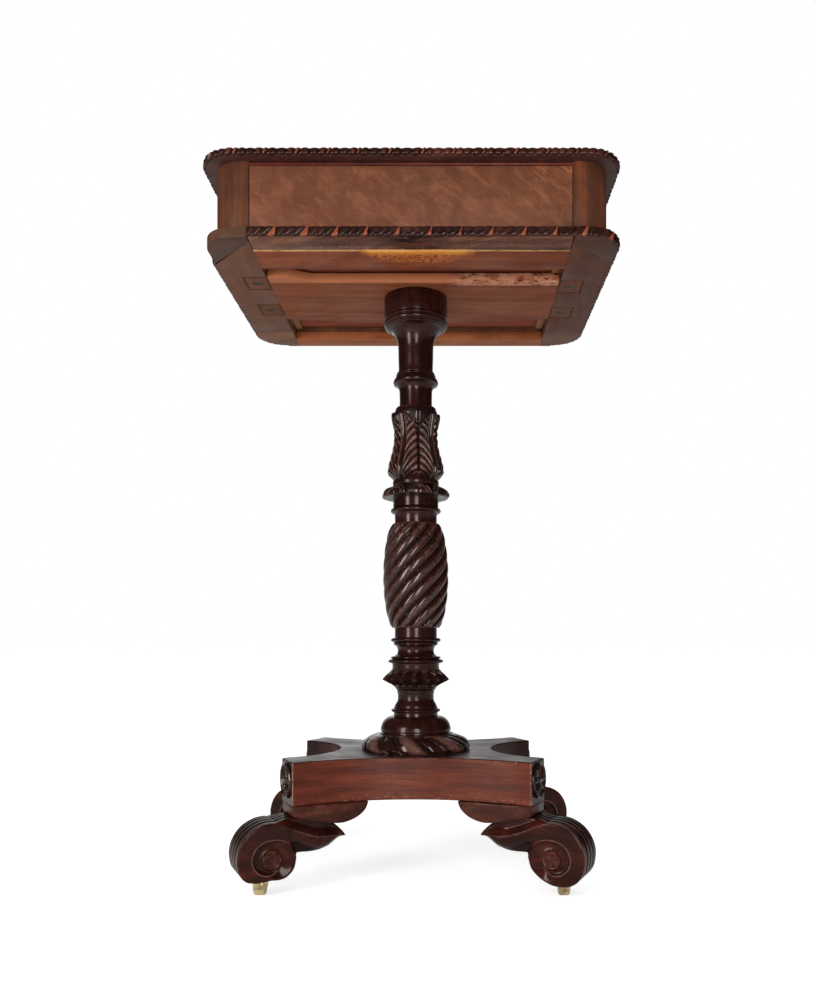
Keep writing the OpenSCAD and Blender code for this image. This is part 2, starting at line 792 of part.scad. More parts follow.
// A carved roundel on a canted face: a raised rim, eight petals and a centre boss
module roundel(c) {
    z = foot_h + platform_t / 2 + 2;
    petal_r = roundel_r * 0.24;
    color("#2a1512") at_corner(c) translate([0, 0, z]) rotate([0, 90, 0]) {
        cylinder(r = roundel_r, h = roundel_t * 0.45);
        difference() {
            cylinder(r = roundel_r, h = roundel_t * 0.8);
            translate([0, 0, -1]) cylinder(r = roundel_r - 2.2, h = roundel_t + 2);
        }
        for (a = [0 : 45 : 315]) rotate([0, 0, a]) translate([roundel_r * 0.58, 0, 0])
            cylinder(r1 = petal_r, r2 = petal_r * 0.5, h = roundel_t * 0.9);
        cylinder(r1 = roundel_r * 0.3, r2 = roundel_r * 0.16, h = roundel_t);
    }
}

// Side outline of a foot: x outwards from the canted face, y up from the floor.
// `in` draws the tread in for the grooves between its reeds.
function foot_outline(in) =
    let (eye = [eye_out, eye_z], pad = foot_h, tip = eye_z + 18.5)
    concat(
        [[-pad_l, pad], [0, pad], [0, eye_z + scroll_r + 3 - in]],
        [for (a = [97 : -12 : -11]) let (r = scroll_r - in - 3.3 * (97 - a) / 108) eye + [r * cos(a), r * sin(a)]],
        [eye + [26.5, -20], eye + [20, -22.4]],
        [for (a = [-68 : -16 : -180]) eye + [scroll_in_r * cos(a), scroll_in_r * sin(a)]],
        [[-2.5, eye_z + 7.5], [-10, eye_z + 8.5], [-20, eye_z + 8.5], [-30, eye_z + 11.5], [-39, eye_z + 16.5],
            [-47, eye_z + 19], [-55.5, tip], [-53, eye_z + 24], [-47, eye_z + 29]],
        [[-50, pad - 21], [-60, pad - 19.5], [-70, pad - 15.5], [-78, pad - 8.5]]);

module foot(c) {
    reed_w = (foot_w - (tread_reeds - 1) * tread_groove) / tread_reeds;
    color("#3a1813") at_corner(c) difference() {
        union() {
            rotate([90, 0, 0]) linear_extrude(foot_w, center = true) polygon(foot_outline(tread_cut));
            for (i = [0 : tread_reeds - 1])
                translate([0, -foot_w / 2 + i * (reed_w + tread_groove), 0]) rotate([90, 0, 0])
                    translate([0, 0, -reed_w]) linear_extrude(reed_w) polygon(foot_outline(0));
        }
        for (s = [-1, 1]) translate([eye_out, s * foot_w / 2, eye_z]) rotate([s * 90, 0, 0]) difference() {
            translate([0, 0, -1]) cylinder(r1 = dish_r + 1, r2 = eye_r + 1, h = dish_depth + 1);
            translate([0, 0, -2]) cylinder(r = eye_r, h = dish_depth + 3);
        }
        translate([castor_out, 0, 0]) {
            cylinder(r = pocket_r, h = castor_h);
            cylinder(r = stem_r + 2.6, h = castor_h + 3.4);
        }
        dowel_places() translate([0, 0, foot_h - dowel_l * 0.4 - fit]) cylinder(r = dowel_r + fit, h = dowel_l);
    }
}

module foot_dowels() {
    color("#9a6a45") for (c = corners) at_corner(c) dowel_places()
        translate([0, 0, foot_h - dowel_l * 0.4]) cylinder(r = dowel_r, h = dowel_l);
}

// Puts what is drawn round the swivel axis at one castor
module at_castor(c) {
    turn = c[0] > 0 ? c[1] * cant : 180 - c[1] * cant;
    x = c[0] * cant_x + castor_out * cos(turn);
    y = c[1] * cant_y + castor_out * sin(turn);
    translate([x, y, 0]) children();
}

crown_top = castor_h - plate_t - air;
crown_bottom = crown_top - 2;
arm_gap = wheel_w / 2 + 0.4;

module castor_plate(c) {
    color("#a8843c") at_castor(c) translate([0, 0, castor_h - plate_t]) difference() {
        cylinder(r = pocket_r - 0.5, h = plate_t);
        translate([0, 0, -1]) cylinder(r = stem_r + running, h = plate_t + 2);
    }
}

module castor_fork(c) {
    color("#a8843c") at_castor(c) {
        translate([0, 0, crown_bottom]) cylinder(r = arm_gap + fork_t + 0.6, h = crown_top - crown_bottom);
        translate([0, 0, crown_bottom]) cylinder(r = stem_r, h = castor_h + air - crown_bottom);
        translate([0, 0, castor_h + air]) cylinder(r = stem_r + 1.5, h = 1.5);
        for (s = [-1, 1]) translate([s * (arm_gap + fork_t / 2) - fork_t / 2, -trail, wheel_r]) rotate([90, 0, 90])
            linear_extrude(fork_t) {
                circle(arm_r);
                translate([-arm_r, 0]) square([trail + arm_r, crown_bottom - wheel_r + 1]);
            }
        translate([-arm_gap - fork_t, -trail, wheel_r]) rotate([0, 90, 0])
            cylinder(r = axle_r, h = 2 * (arm_gap + fork_t));
    }
}

module castor_wheel(c) {
    r = wheel_r;
    w = wheel_w;
    color("#b8923f") at_castor(c) translate([0, -trail, r]) rotate([0, 90, 0]) difference() {
        rotate_extrude() polygon(concat(
            [[0, -w / 2]],
            [for (s = [-1, 1]) for (a = [90 : -22.5 : 0]) let (t = s < 0 ? a : 90 - a)
                [r - wheel_edge * (1 - cos(t)), s * (w / 2 - wheel_edge * (1 - sin(t)))]],
            [[0, w / 2]]));
        translate([0, 0, -w]) cylinder(r = axle_r + running, h = 2 * w);
    }
}

top_board();
top_rope();
stile(left, front);  // stile_front_left
stile(right, front);  // stile_front_right
stile(left, back);  // stile_back_left
stile(right, back);  // stile_back_right
side_panel(left);  // side_panel_left
side_panel(right);  // side_panel_right
back_panel();
top_rail();
front_rail();
rear_rail();
side_rail(left);  // side_rail_left
side_rail(right);  // side_rail_right
corner_front_left();
corner_front_right();
corner_back(left);  // corner_back_left
corner_back(right);  // corner_back_right
lower_rope_left();
lower_rope_right();
bearer_board();
bearer_screws();
guide(left);  // guide_left
guide(right);  // guide_right
kicker(left);  // kicker_left
kicker(right);  // kicker_right
drawer_front();
drawer_strip();
drawer_rope();
drawer_side(left);  // drawer_side_left
drawer_side(right);  // drawer_side_right
drawer_back();
drawer_bottom();
top_collar();
column();
base_collar();
tenon_wedge();
platform();
roundel(corners[0]);  // roundel_front_right
roundel(corners[1]);  // roundel_front_left
roundel(corners[2]);  // roundel_back_right
roundel(corners[3]);  // roundel_back_left
foot(corners[0]);  // foot_front_right
foot(corners[1]);  // foot_front_left
foot(corners[2]);  // foot_back_right
foot(corners[3]);  // foot_back_left
foot_dowels();
castor_plate(corners[0]);  // castor_plate_front_right
castor_plate(corners[1]);  // castor_plate_front_left
castor_plate(corners[2]);  // castor_plate_back_right
castor_plate(corners[3]);  // castor_plate_back_left
castor_fork(corners[0]);  // castor_fork_front_right
castor_fork(corners[1]);  // castor_fork_front_left
castor_fork(corners[2]);  // castor_fork_back_right
castor_fork(corners[3]);  // castor_fork_back_left
castor_wheel(corners[0]);  // castor_wheel_front_right
castor_wheel(corners[1]);  // castor_wheel_front_left
castor_wheel(corners[2]);  // castor_wheel_back_right
castor_wheel(corners[3]);  // castor_wheel_back_left
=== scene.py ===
# %% [markdown]
# Lamp table with a drawer, rope-carved plates and a carved column
#
# The real object is a small mahogany table photographed from the front and from
# below its top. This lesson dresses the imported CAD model: the frame is loaded
# first, then come the camera, the light, the finishes, and last the carving,
# piece by piece, from the top plate down to the castors.

# %% Load the frame
import math
import bmesh
import bpy
import numpy as np
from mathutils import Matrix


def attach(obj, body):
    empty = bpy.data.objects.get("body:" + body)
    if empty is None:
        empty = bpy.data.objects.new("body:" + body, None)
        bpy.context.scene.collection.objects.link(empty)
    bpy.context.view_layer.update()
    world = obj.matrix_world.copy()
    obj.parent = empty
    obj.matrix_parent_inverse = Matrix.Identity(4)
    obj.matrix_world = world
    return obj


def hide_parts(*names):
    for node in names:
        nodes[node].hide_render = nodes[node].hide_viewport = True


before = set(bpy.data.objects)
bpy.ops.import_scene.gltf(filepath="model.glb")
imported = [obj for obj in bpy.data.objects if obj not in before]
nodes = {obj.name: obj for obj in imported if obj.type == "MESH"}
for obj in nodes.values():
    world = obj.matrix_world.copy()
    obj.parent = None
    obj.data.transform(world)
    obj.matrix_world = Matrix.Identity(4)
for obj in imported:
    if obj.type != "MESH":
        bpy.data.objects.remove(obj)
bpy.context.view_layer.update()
scene = bpy.context.scene
MM = 0.001

# %% [markdown]
# The camera of the photograph stood level, a little to the right of the column
# and a quarter of a metre above the floor, about a metre away. A level camera
# keeps uprights upright. What was cropped afterwards is a lens shift, so the
# shift brings the table to its place in the picture.

# %% Camera
camera = bpy.data.cameras.new("camera")
camera.lens = 30.96
camera.sensor_width = 36.0
camera.shift_x = -0.0367
camera.shift_y = 0.143
camera.clip_start = 0.02
camera_object = bpy.data.objects.new("camera", camera)
camera_object.location = (33.2 * MM, -987.5 * MM, 255.5 * MM)
camera_object.rotation_euler = (math.radians(90), 0, 0)
scene.collection.objects.link(camera_object)
scene.camera = camera_object
scene.view_settings.view_transform = "Standard"
print("camera at", tuple(camera_object.location))


# %% [markdown]
# A material is a tree of nodes. Typing out each node takes many lines, so small
# helpers do it: one adds a node and fills its sockets, others do arithmetic, mix
# two colours, or make noise and map its greys onto a mask from 0 to 1.

# %% Helpers for nodes
def put(tree, kind, sockets=(), **settings):
    """Adds one shader node. A socket is given by name: a plain value is set, an output is linked."""
    node = tree.nodes.new("ShaderNode" + kind)
    for key, value in settings.items():
        setattr(node, key, value)
    for key, value in dict(sockets).items():
        if isinstance(value, bpy.types.NodeSocket):
            tree.links.new(value, node.inputs[key])
        else:
            node.inputs[key].default_value = value
    return node


def calc(tree, operation, *values, clamp=False):
    """The result of one arithmetic step on values or outputs."""
    return put(tree, "Math", dict(enumerate(values)), operation=operation, use_clamp=clamp).outputs[0]


def times(tree, first, second):
    """The product of two values or outputs."""
    return calc(tree, "MULTIPLY", first, second)


def plus(tree, first, second):
    """Their sum."""
    return calc(tree, "ADD", first, second)


def minus(tree, first, second):
    """The first less the second."""
    return calc(tree, "SUBTRACT", first, second)


def tint(tree, share, first, second, kind="MIX"):
    """Mixes two colours by a share from 0 to 1."""
    node = put(tree, "Mix", {0: share, 6: first, 7: second}, data_type="RGBA", blend_type=kind)
    return node.outputs[2]


def span(tree, value, low, high, start=0.0, end=1.0):
    """Maps low..high onto start..end and holds it there."""
    return put(tree, "MapRange", {0: value, 1: low, 2: high, 3: start, 4: end}).outputs[0]


def noise(tree, vector, scale, detail=3.0, rough=0.55, warp=0.0):
    """Grey noise, about 0.5 in the mean."""
    return put(tree, "TexNoise", {"Vector": vector, "Scale": scale, "Detail": detail,
                                  "Roughness": rough, "Distortion": warp}).outputs["Fac"]


def stretch(tree, vector, scale, place=(0, 0, 0), turn=(0, 0, 0)):
    """Turns, scales and moves a pattern's coordinates."""
    return put(tree, "Mapping", {"Vector": vector, "Location": place, "Rotation": turn,
                                 "Scale": scale}).outputs[0]


def patchy(tree, vector, scale, detail, rough, low, high, place=(0, 0, 0)):
    """Soft patches: noise on stretched coordinates, of which low..high is mapped onto 0..1."""
    return span(tree, noise(tree, stretch(tree, vector, scale, place), 1.0, detail, rough), low, high)


def new_material(name):
    """A material without nodes, and its tree."""
    material = bpy.data.materials.new(name)
    material.use_nodes = True
    material.node_tree.nodes.clear()
    return material, material.node_tree


def new_group(name, inputs, outputs):
    """A node group with named sockets: each is (name, type, value)."""
    tree = bpy.data.node_groups.new(name, "ShaderNodeTree")
    for direction, sockets in (("INPUT", inputs), ("OUTPUT", outputs)):
        for label, kind, value in sockets:
            socket = tree.interface.new_socket(label, in_out=direction, socket_type="NodeSocket" + kind)
            if value is not None:
                socket.default_value = value
    entry = tree.nodes.new("NodeGroupInput")
    leave = tree.nodes.new("NodeGroupOutput")
    return tree, entry.outputs, leave.inputs


def rgb(red, green, blue):
    """A colour as it is seen on screen, 0 to 255, in the linear values that a shader takes."""
    seen = np.array([red, green, blue]) / 255
    linear = np.where(seen <= 0.04045, seen / 12.92, ((seen + 0.055) / 1.055) ** 2.4)
    return (*[float(v) for v in linear], 1.0)


print("a polished brown in linear values:", rgb(120, 76, 58))

# %% [markdown]
# The floor is a plain pale sheet. For camera rays it also glows, just enough that
# glow and scattered light together are white in the picture, while the shadow of
# the feet stays. The world is white where the camera sees it. Polish reflects a
# white wall behind the table and a darker room in front, which is why the
# platform's top shines grey while the column stays dark.

# %% Floor and world
FLOOR_SIDE, FLOOR_GLOW, GLOW_IN_POLISH = 30.0, 0.62, 0.1


def pale_floor():
    """Paper that scatters light, plus a glow that only camera rays, and faintly glossy rays, meet."""
    material, net = new_material("pale_floor")
    path = put(net, "LightPath")
    seen = calc(net, "MAXIMUM", path.outputs["Is Camera Ray"], path.outputs["Is Transmission Ray"])
    seen = plus(net, seen, times(net, path.outputs["Is Glossy Ray"], GLOW_IN_POLISH))
    paper = put(net, "BsdfDiffuse", {"Color": rgb(228, 228, 228)})
    glow = put(net, "Emission", {"Color": (1, 1, 1, 1), "Strength": times(net, seen, FLOOR_GLOW)})
    both = put(net, "AddShader", {0: paper.outputs[0], 1: glow.outputs[0]})
    put(net, "OutputMaterial", {"Surface": both.outputs[0]})
    return material


floor_mesh = bpy.data.meshes.new("floor")
floor_mesh.from_pydata([(FLOOR_SIDE * x, FLOOR_SIDE * y, 0) for x, y in ((-1, -1), (1, -1), (1, 1), (-1, 1))],
                       [], [(0, 1, 2, 3)])
floor_mesh.materials.append(pale_floor())
floor = bpy.data.objects.new("floor", floor_mesh)
scene.collection.objects.link(floor)

AMBIENT = 0.58
world = bpy.data.worlds.new("studio")
scene.world = world
world.use_nodes = True
net = world.node_tree
net.nodes.clear()
path = put(net, "LightPath")
look = put(net, "SeparateXYZ", {"Vector": put(net, "TexCoord").outputs["Generated"]})
wall = span(net, look.outputs["Y"], 0.74, 0.97, 0.04, 1.0)
wall = times(net, wall, span(net, look.outputs["X"], 0.16, -0.12, 0.42, 1.0))
shine = times(net, path.outputs["Is Glossy Ray"], wall)
shine = plus(net, shine, times(net, minus(net, 1.0, path.outputs["Is Glossy Ray"]), AMBIENT))
seen = calc(net, "MAXIMUM", path.outputs["Is Camera Ray"], path.outputs["Is Transmission Ray"])
strength = put(net, "Mix", {0: seen, 2: shine, 3: 1.0}, data_type="FLOAT").outputs[0]
glow = put(net, "Background", {"Color": (1, 1, 1, 1), "Strength": strength})
put(net, "OutputWorld", {"Surface": glow.outputs[0]})
print("floor and world made, ambient", AMBIENT)


# %% [markdown]
# Two broad soft lights stand near the camera's height, as two windows would:
# the pair of upright highlights on the column shows where they were. They end
# below the plates' height: the straight neck shows no highlight, and the hollows
# under its rings, which face down, do.

# %% Lights
LIT_HEIGHT = 0.38


def soft_light(name, azimuth, distance, height, width, tall, power):
    """An area light that looks at the table's middle; azimuth 0 is in front, positive to the right."""
    lamp = bpy.data.lights.new(name, "AREA")
    lamp.shape = "RECTANGLE"
    lamp.size, lamp.size_y = width, tall
    lamp.energy = power
    thing = bpy.data.objects.new(name, lamp)
    turn = math.radians(azimuth)
    place = np.array([math.sin(turn) * distance, -math.cos(turn) * distance, height])
    aim = np.array([0, 0, LIT_HEIGHT]) - place
    thing.location = place
    tilt = math.atan2(math.hypot(aim[0], aim[1]), -aim[2])
    thing.rotation_euler = (tilt, 0, math.atan2(aim[1], aim[0]) - math.pi / 2)
    thing.visible_camera = False
    scene.collection.objects.link(thing)


soft_light("window_left", -40, 1.5, 0.52, 0.36, 0.80, 11.5)
soft_light("window_front", 6, 1.75, 0.50, 0.42, 0.78, 11.5)

# %% [markdown]
# Wood shows three things at once: long fibre streaks, a broad figure that
# wanders across them, and short dark pores. One group makes all three from any
# coordinates whose X runs along the grain, so every board can use it with its
# own colours.

# %% Group: wood grain
tree, give, take = new_group(
    "wood_grain",
    [("Vector", "Vector", None), ("Dark", "Color", rgb(60, 30, 22)), ("Mid", "Color", rgb(110, 65, 48)),
     ("Light", "Color", rgb(150, 100, 70)), ("Streaks", "Float", 0.6), ("Figure", "Float", 0.5),
     ("Pores", "Float", 0.5), ("Figure Turn", "Float", 0.5)],
    [("Color", "Color", None), ("Height", "Float", None), ("Dull", "Float", None)])
drift = noise(tree, give["Vector"], 7.0, 2.0)
offset = put(tree, "CombineXYZ", {"Y": times(tree, minus(tree, drift, 0.5), 0.02)})
bent = put(tree, "VectorMath", {0: give["Vector"], 1: offset.outputs[0]}, operation="ADD").outputs[0]
streaks = noise(tree, stretch(tree, bent, (5, 95, 95)), 1.0, 4.0, 0.62)
fibre = noise(tree, stretch(tree, bent, (28, 900, 900)), 1.0, 2.0, 0.6)
turned_vector = put(tree, "VectorRotate", {"Vector": bent, "Angle": give["Figure Turn"]},
                    rotation_type="Z_AXIS").outputs[0]
flame = noise(tree, stretch(tree, turned_vector, (9, 46, 20)), 1.0, 4.0, 0.6, 0.9)
pores = noise(tree, stretch(tree, bent, (110, 1700, 1700)), 1.0, 1.0, 0.5)
pore_mask = times(tree, span(tree, pores, 0.60, 0.70), give["Pores"])
tone = times(tree, minus(tree, streaks, 0.5), give["Streaks"])
tone = plus(tree, tone, times(tree, minus(tree, flame, 0.5), give["Figure"]))
tone = plus(tree, tone, times(tree, minus(tree, fibre, 0.5), 0.12))
tone = calc(tree, "MULTIPLY_ADD", tone, 2.2, 0.5, clamp=True)
lower = tint(tree, span(tree, tone, 0.0, 0.5), give["Dark"], give["Mid"])
wood = tint(tree, span(tree, tone, 0.5, 1.0), lower, give["Light"])
wood = tint(tree, times(tree, pore_mask, 0.55), wood, give["Dark"])
tree.links.new(wood, take["Color"])
tree.links.new(minus(tree, times(tree, fibre, 0.5), pore_mask), take["Height"])
tree.links.new(plus(tree, times(tree, pore_mask, 0.15),
                    times(tree, minus(tree, fibre, 0.5), 0.2)), take["Dull"])
wood_grain = tree
print("group", wood_grain.name)

# %% [markdown]
# Old shellac polish is never even: it is rubbed thin on what hands touch and
# lies thick and dull where they don't. This group blurs one roughness into
# another in soft patches, and adds the slight waviness that breaks up a
# reflection on a flat board.

# %% Group: old polish
tree, give, take = new_group(
    "old_polish",
    [("Vector", "Vector", None), ("Shiny", "Float", 0.2), ("Dull", "Float", 0.45), ("Patch Size", "Float", 25.0)],
    [("Roughness", "Float", None), ("Height", "Float", None)])
patches = noise(tree, give["Vector"], give["Patch Size"], 5.0, 0.65)
mixed = put(tree, "Mix", {0: span(tree, patches, 0.35, 0.68), 2: give["Shiny"], 3: give["Dull"]}, data_type="FLOAT")
tree.links.new(mixed.outputs[0], take["Roughness"])
tree.links.new(noise(tree, give["Vector"], 160.0, 2.0), take["Height"])
old_polish = tree

# %% [markdown]
# In carving, dirt and wax stay in the hollows and the ridges are rubbed bare.
# The near-black of the hollows is dirt and painted shade, and the pale of the
# ridges is wear and painted highlight. Each carved piece carries an attribute,
# depth, that is 0 in its deepest hollow and 1 on its highest ridge. This group
# reads it, breaks it up with a little noise and colours hollow and ridge apart.

# %% Group: carving wear and painted light
tree, give, take = new_group(
    "carving_wear_and_painted_light",
    [("Vector", "Vector", None), ("Color", "Color", None), ("Depth", "Float", 0.5), ("Hollow", "Color", rgb(20, 10, 8)),
     ("Ridge", "Color", rgb(110, 60, 40)), ("Hollow Share", "Float", 0.8), ("Ridge Share", "Float", 0.4)],
    [("Color", "Color", None), ("Dull", "Float", None)])
rough_depth = plus(tree, give["Depth"], times(tree, minus(
    tree, noise(tree, give["Vector"], 260.0, 3.0), 0.5), 0.35))
# Hollows go towards near-black: dirt and painted shade. Ridges go pale: wear and painted highlight.
hollow = times(tree, span(tree, rough_depth, 0.45, 0.05), give["Hollow Share"])
ridge = times(tree, span(tree, rough_depth, 0.80, 1.0), give["Ridge Share"])
carved = tint(tree, hollow, give["Color"], give["Hollow"])
carved = tint(tree, ridge, carved, give["Ridge"])
tree.links.new(carved, take["Color"])
tree.links.new(times(tree, hollow, 0.35), take["Dull"])
carving_wear_and_painted_light = tree
print("groups", [g.name for g in bpy.data.node_groups])


# %% [markdown]
# A wooden finish puts the three groups together: grain gives the colour, the
# polish gives the roughness, the carving group is added where a piece has a
# depth attribute. The shader itself stays in the material. Old varnish is amber,
# so what it reflects is tinted a little.

# %% Wood materials
VARNISH = (1.0, 0.76, 0.68, 1.0)


def wood_finish(name, dark, mid, light, along="X", streaks=0.6, figure=0.5, pores=0.5, figure_turn=0.5,
                shiny=0.2, dull=0.45, bump=0.15, carving=None, coat=0.0, specular=0.4):
    """A wood: three colours, the direction of its grain (X, Y or Z), and how it is polished."""
    material, net = new_material(name)
    here = put(net, "TexCoord").outputs["Object"]
    turn = {"X": (0, 0, 0), "Y": (0, 0, math.pi / 2), "Z": (0, math.pi / 2, 0)}[along]
    grain = put(net, "Group", {"Vector": stretch(net, here, (1, 1, 1), turn=turn), "Dark": dark, "Mid": mid,
                               "Light": light, "Streaks": streaks, "Figure": figure, "Pores": pores,
                               "Figure Turn": figure_turn}, node_tree=wood_grain)
    polish = put(net, "Group", {"Vector": here, "Shiny": shiny, "Dull": dull}, node_tree=old_polish)
    colour = grain.outputs["Color"]
    roughness = plus(net, polish.outputs["Roughness"], grain.outputs["Dull"])
    if carving:
        depth = put(net, "Attribute", attribute_name="depth").outputs["Fac"]
        # The carving group colours hollows with dirt and painted shade, and ridges with wear and painted highlight.
        wear = put(net, "Group", {"Vector": here, "Color": colour, "Depth": depth, **carving}, node_tree=carving_wear_and_painted_light)
        colour = wear.outputs["Color"]
        roughness = plus(net, roughness, wear.outputs["Dull"])
    waves = times(net, polish.outputs["Height"], 0.5)
    height = calc(net, "MULTIPLY_ADD", grain.outputs["Height"], 0.6, waves)
    bumps = put(net, "Bump", {"Height": height, "Strength": bump, "Distance": 0.4 * MM})
    shader = put(net, "BsdfPrincipled", {"Base Color": colour, "Roughness": roughness, "Normal": bumps.outputs[0],
                                         "Coat Weight": coat, "Coat Roughness": 0.08, "Specular IOR Level": specular,
                                         "Specular Tint": VARNISH, "Coat IOR": 1.4})
    put(net, "OutputMaterial", {"Surface": shader.outputs[0]})
    return material


def carved_look(hollow, ridge, hollow_share, ridge_share):
    """The carving group's four values: two colours and how far each shows."""
    return {"Hollow": hollow, "Ridge": ridge, "Hollow Share": hollow_share, "Ridge Share": ridge_share}


# Hollow colours are dirt and painted shade. The pale ridge colours are wear and painted highlight; the rope's orange
# ridge is its rubbed bare wood.
CARVED = carved_look(rgb(7, 3, 3), rgb(140, 98, 86), 0.95, 0.42)
FOOT_CARVED = carved_look(rgb(7, 3, 3), rgb(140, 98, 84), 0.9, 0.4)
ROPE_CARVED = carved_look(rgb(8, 4, 3), rgb(138, 68, 46), 0.95, 0.9)
carved_wood = wood_finish("carved_mahogany", rgb(18, 8, 7), rgb(34, 16, 13), rgb(62, 29, 23), "Z", 0.6, 0.5, 0.3,
                          shiny=0.10, dull=0.30, bump=0.22, carving=CARVED, coat=0.4, specular=0.3)
turned_wood = wood_finish("turned_mahogany", rgb(18, 6, 5), rgb(32, 12, 9), rgb(54, 21, 16), "Z", 0.7, 0.5, 0.2,
                          shiny=0.15, dull=0.32, bump=0.08, coat=0.25, specular=0.2)
foot_wood = wood_finish("foot_mahogany", rgb(18, 6, 4), rgb(41, 14, 9), rgb(76, 29, 18), "X", 0.7, 0.5, 0.4,
                        shiny=0.13, dull=0.32, carving=FOOT_CARVED, coat=0.16, specular=0.15)
rope_wood = wood_finish("rope_mahogany", rgb(18, 7, 5), rgb(42, 19, 14), rgb(92, 46, 34), "X", 0.7, 0.4, 0.4,
                        shiny=0.16, dull=0.40, carving=ROPE_CARVED, coat=0.2, specular=0.25)
stile_wood = wood_finish("stile_mahogany", rgb(60, 35, 24), rgb(84, 48, 32), rgb(118, 62, 36), "Z", 0.7, 0.45, 0.3,
                         shiny=0.30, dull=0.5, bump=0.06, specular=0.22)
top_wood = wood_finish("top_mahogany", rgb(44, 24, 20), rgb(68, 41, 35), rgb(92, 56, 47), "X", 0.5, 0.5, 0.4,
                       shiny=0.25, dull=0.5, specular=0.25)
top_face_wood = wood_finish("top_face_mahogany", rgb(62, 27, 17), rgb(104, 50, 31), rgb(146, 80, 49),
                            "X", 0.5, 0.9, 0.4,
                            figure_turn=0.7, shiny=0.16, dull=0.30, bump=0.05, coat=0.2)
bead_wood = wood_finish("bead_mahogany", rgb(46, 16, 14), rgb(76, 28, 21), rgb(116, 40, 27), "X", 0.5, 0.7, 0.3,
                        shiny=0.25, dull=0.45, specular=0.2)
side_rail_wood = wood_finish("side_rail_mahogany", rgb(74, 43, 31), rgb(97, 59, 42), rgb(122, 77, 55),
                             "Y", 0.6, 0.3, 0.7,
                             shiny=0.4, dull=0.6, specular=0.15)
front_corner_wood = wood_finish("front_corner_mahogany", rgb(58, 38, 29), rgb(80, 54, 41), rgb(100, 70, 52),
                                "X", 0.5, 0.4, 0.6,
                                shiny=0.35, dull=0.55, specular=0.15)
back_corner_wood = wood_finish("back_corner_mahogany", rgb(90, 58, 42), rgb(117, 78, 56), rgb(142, 98, 70),
                               "X", 0.5, 0.4, 0.6,
                               shiny=0.35, dull=0.55, specular=0.15)
rear_rail_wood = wood_finish("rear_rail_mahogany", rgb(118, 64, 38), rgb(158, 90, 54), rgb(190, 120, 74),
                             "X", 0.6, 0.3, 0.6,
                             shiny=0.4, dull=0.6, specular=0.15)
lining_wood = wood_finish("drawer_lining", rgb(120, 82, 54), rgb(152, 110, 74), rgb(176, 134, 94), "Y", 0.6, 0.3, 0.7,
                          shiny=0.5, dull=0.7, specular=0.2)
bottom_wood = wood_finish("drawer_bottom", rgb(108, 54, 40), rgb(138, 72, 54), rgb(164, 92, 68), "X", 0.8, 0.3, 0.6,
                          shiny=0.5, dull=0.7, specular=0.1)
pad_wood = wood_finish("pad_mahogany", rgb(34, 14, 10), rgb(60, 28, 21), rgb(96, 50, 36), "X", 0.9, 0.4, 0.6,
                       shiny=0.22, dull=0.45, specular=0.2)
print("wood finishes", len([m for m in bpy.data.materials if "mahogany" in m.name]))


# %% [markdown]
# Three boards tell more of their use than plain grain can. The drawer front has
# pale wisps that run down from left to right through its veneer. The strip and
# the rail under the drawer are rubbed to bare golden wood where hands reach for
# the drawer. The bearer's front edge is broken and pale. Each gets a few masks on
# top of its grain, which are made from noise and from the distance to a place.

# %% Boards with a history
def add_mask(material, share, colour):
    """Lays a colour over a finished wood by a share from 0 to 1, between its grain and its shader."""
    net = material.node_tree
    shader = next(n for n in net.nodes if n.bl_idname == "ShaderNodeBsdfPrincipled")
    before = shader.inputs["Base Color"].links[0].from_socket
    net.links.new(tint(net, share, before, colour), shader.inputs["Base Color"])


def axes(material):
    """The material's tree, its object coordinates and their three parts."""
    net = material.node_tree
    here = put(net, "TexCoord").outputs["Object"]
    return net, here, put(net, "SeparateXYZ", {"Vector": here}).outputs


def near_line(net, value, middle, width):
    """1 on a line and 0 at a distance of width from it."""
    return span(net, calc(net, "ABSOLUTE", minus(net, value, middle)), width, 0.0)


frieze_wood = wood_finish("figured_mahogany", rgb(76, 44, 31), rgb(101, 60, 42), rgb(128, 80, 54),
                          "X", 0.3, 0.5, 0.35,
                          figure_turn=-0.6, shiny=0.30, dull=0.5, bump=0.06, specular=0.22)
net, here, axis = axes(frieze_wood)
slanted = put(net, "VectorRotate", {"Vector": here, "Angle": math.radians(-42)}, rotation_type="Y_AXIS").outputs[0]
wisps = span(net, noise(net, stretch(net, slanted, (16, 16, 95)), 1.0, 4.0, 0.62, 0.8), 0.53, 0.70)
add_mask(frieze_wood, times(net, wisps, 0.34), rgb(146, 90, 60))
mottled = noise(net, stretch(net, slanted, (46, 46, 84), (5, 2, 7)), 1.0, 5.0, 0.7, 0.6)
add_mask(frieze_wood, times(net, span(net, mottled, 0.50, 0.64), 0.42), rgb(134, 84, 62))
add_mask(frieze_wood, times(net, span(net, mottled, 0.46, 0.34), 0.40), rgb(84, 50, 36))
olive = patchy(net, here, (14, 14, 26), 3.0, 0.6, 0.52, 0.70, (3, 1, 2))
add_mask(frieze_wood, times(net, olive, 0.55), rgb(88, 60, 40))
gold = times(net, span(net, axis["X"], 0.09, 0.15), span(net, axis["Z"], 0.680, 0.722))
fine = patchy(net, slanted, (26, 26, 240), 3.0, 0.6, 0.52, 0.66)
add_mask(frieze_wood, times(net, times(net, gold, fine), 0.7), rgb(176, 108, 62))

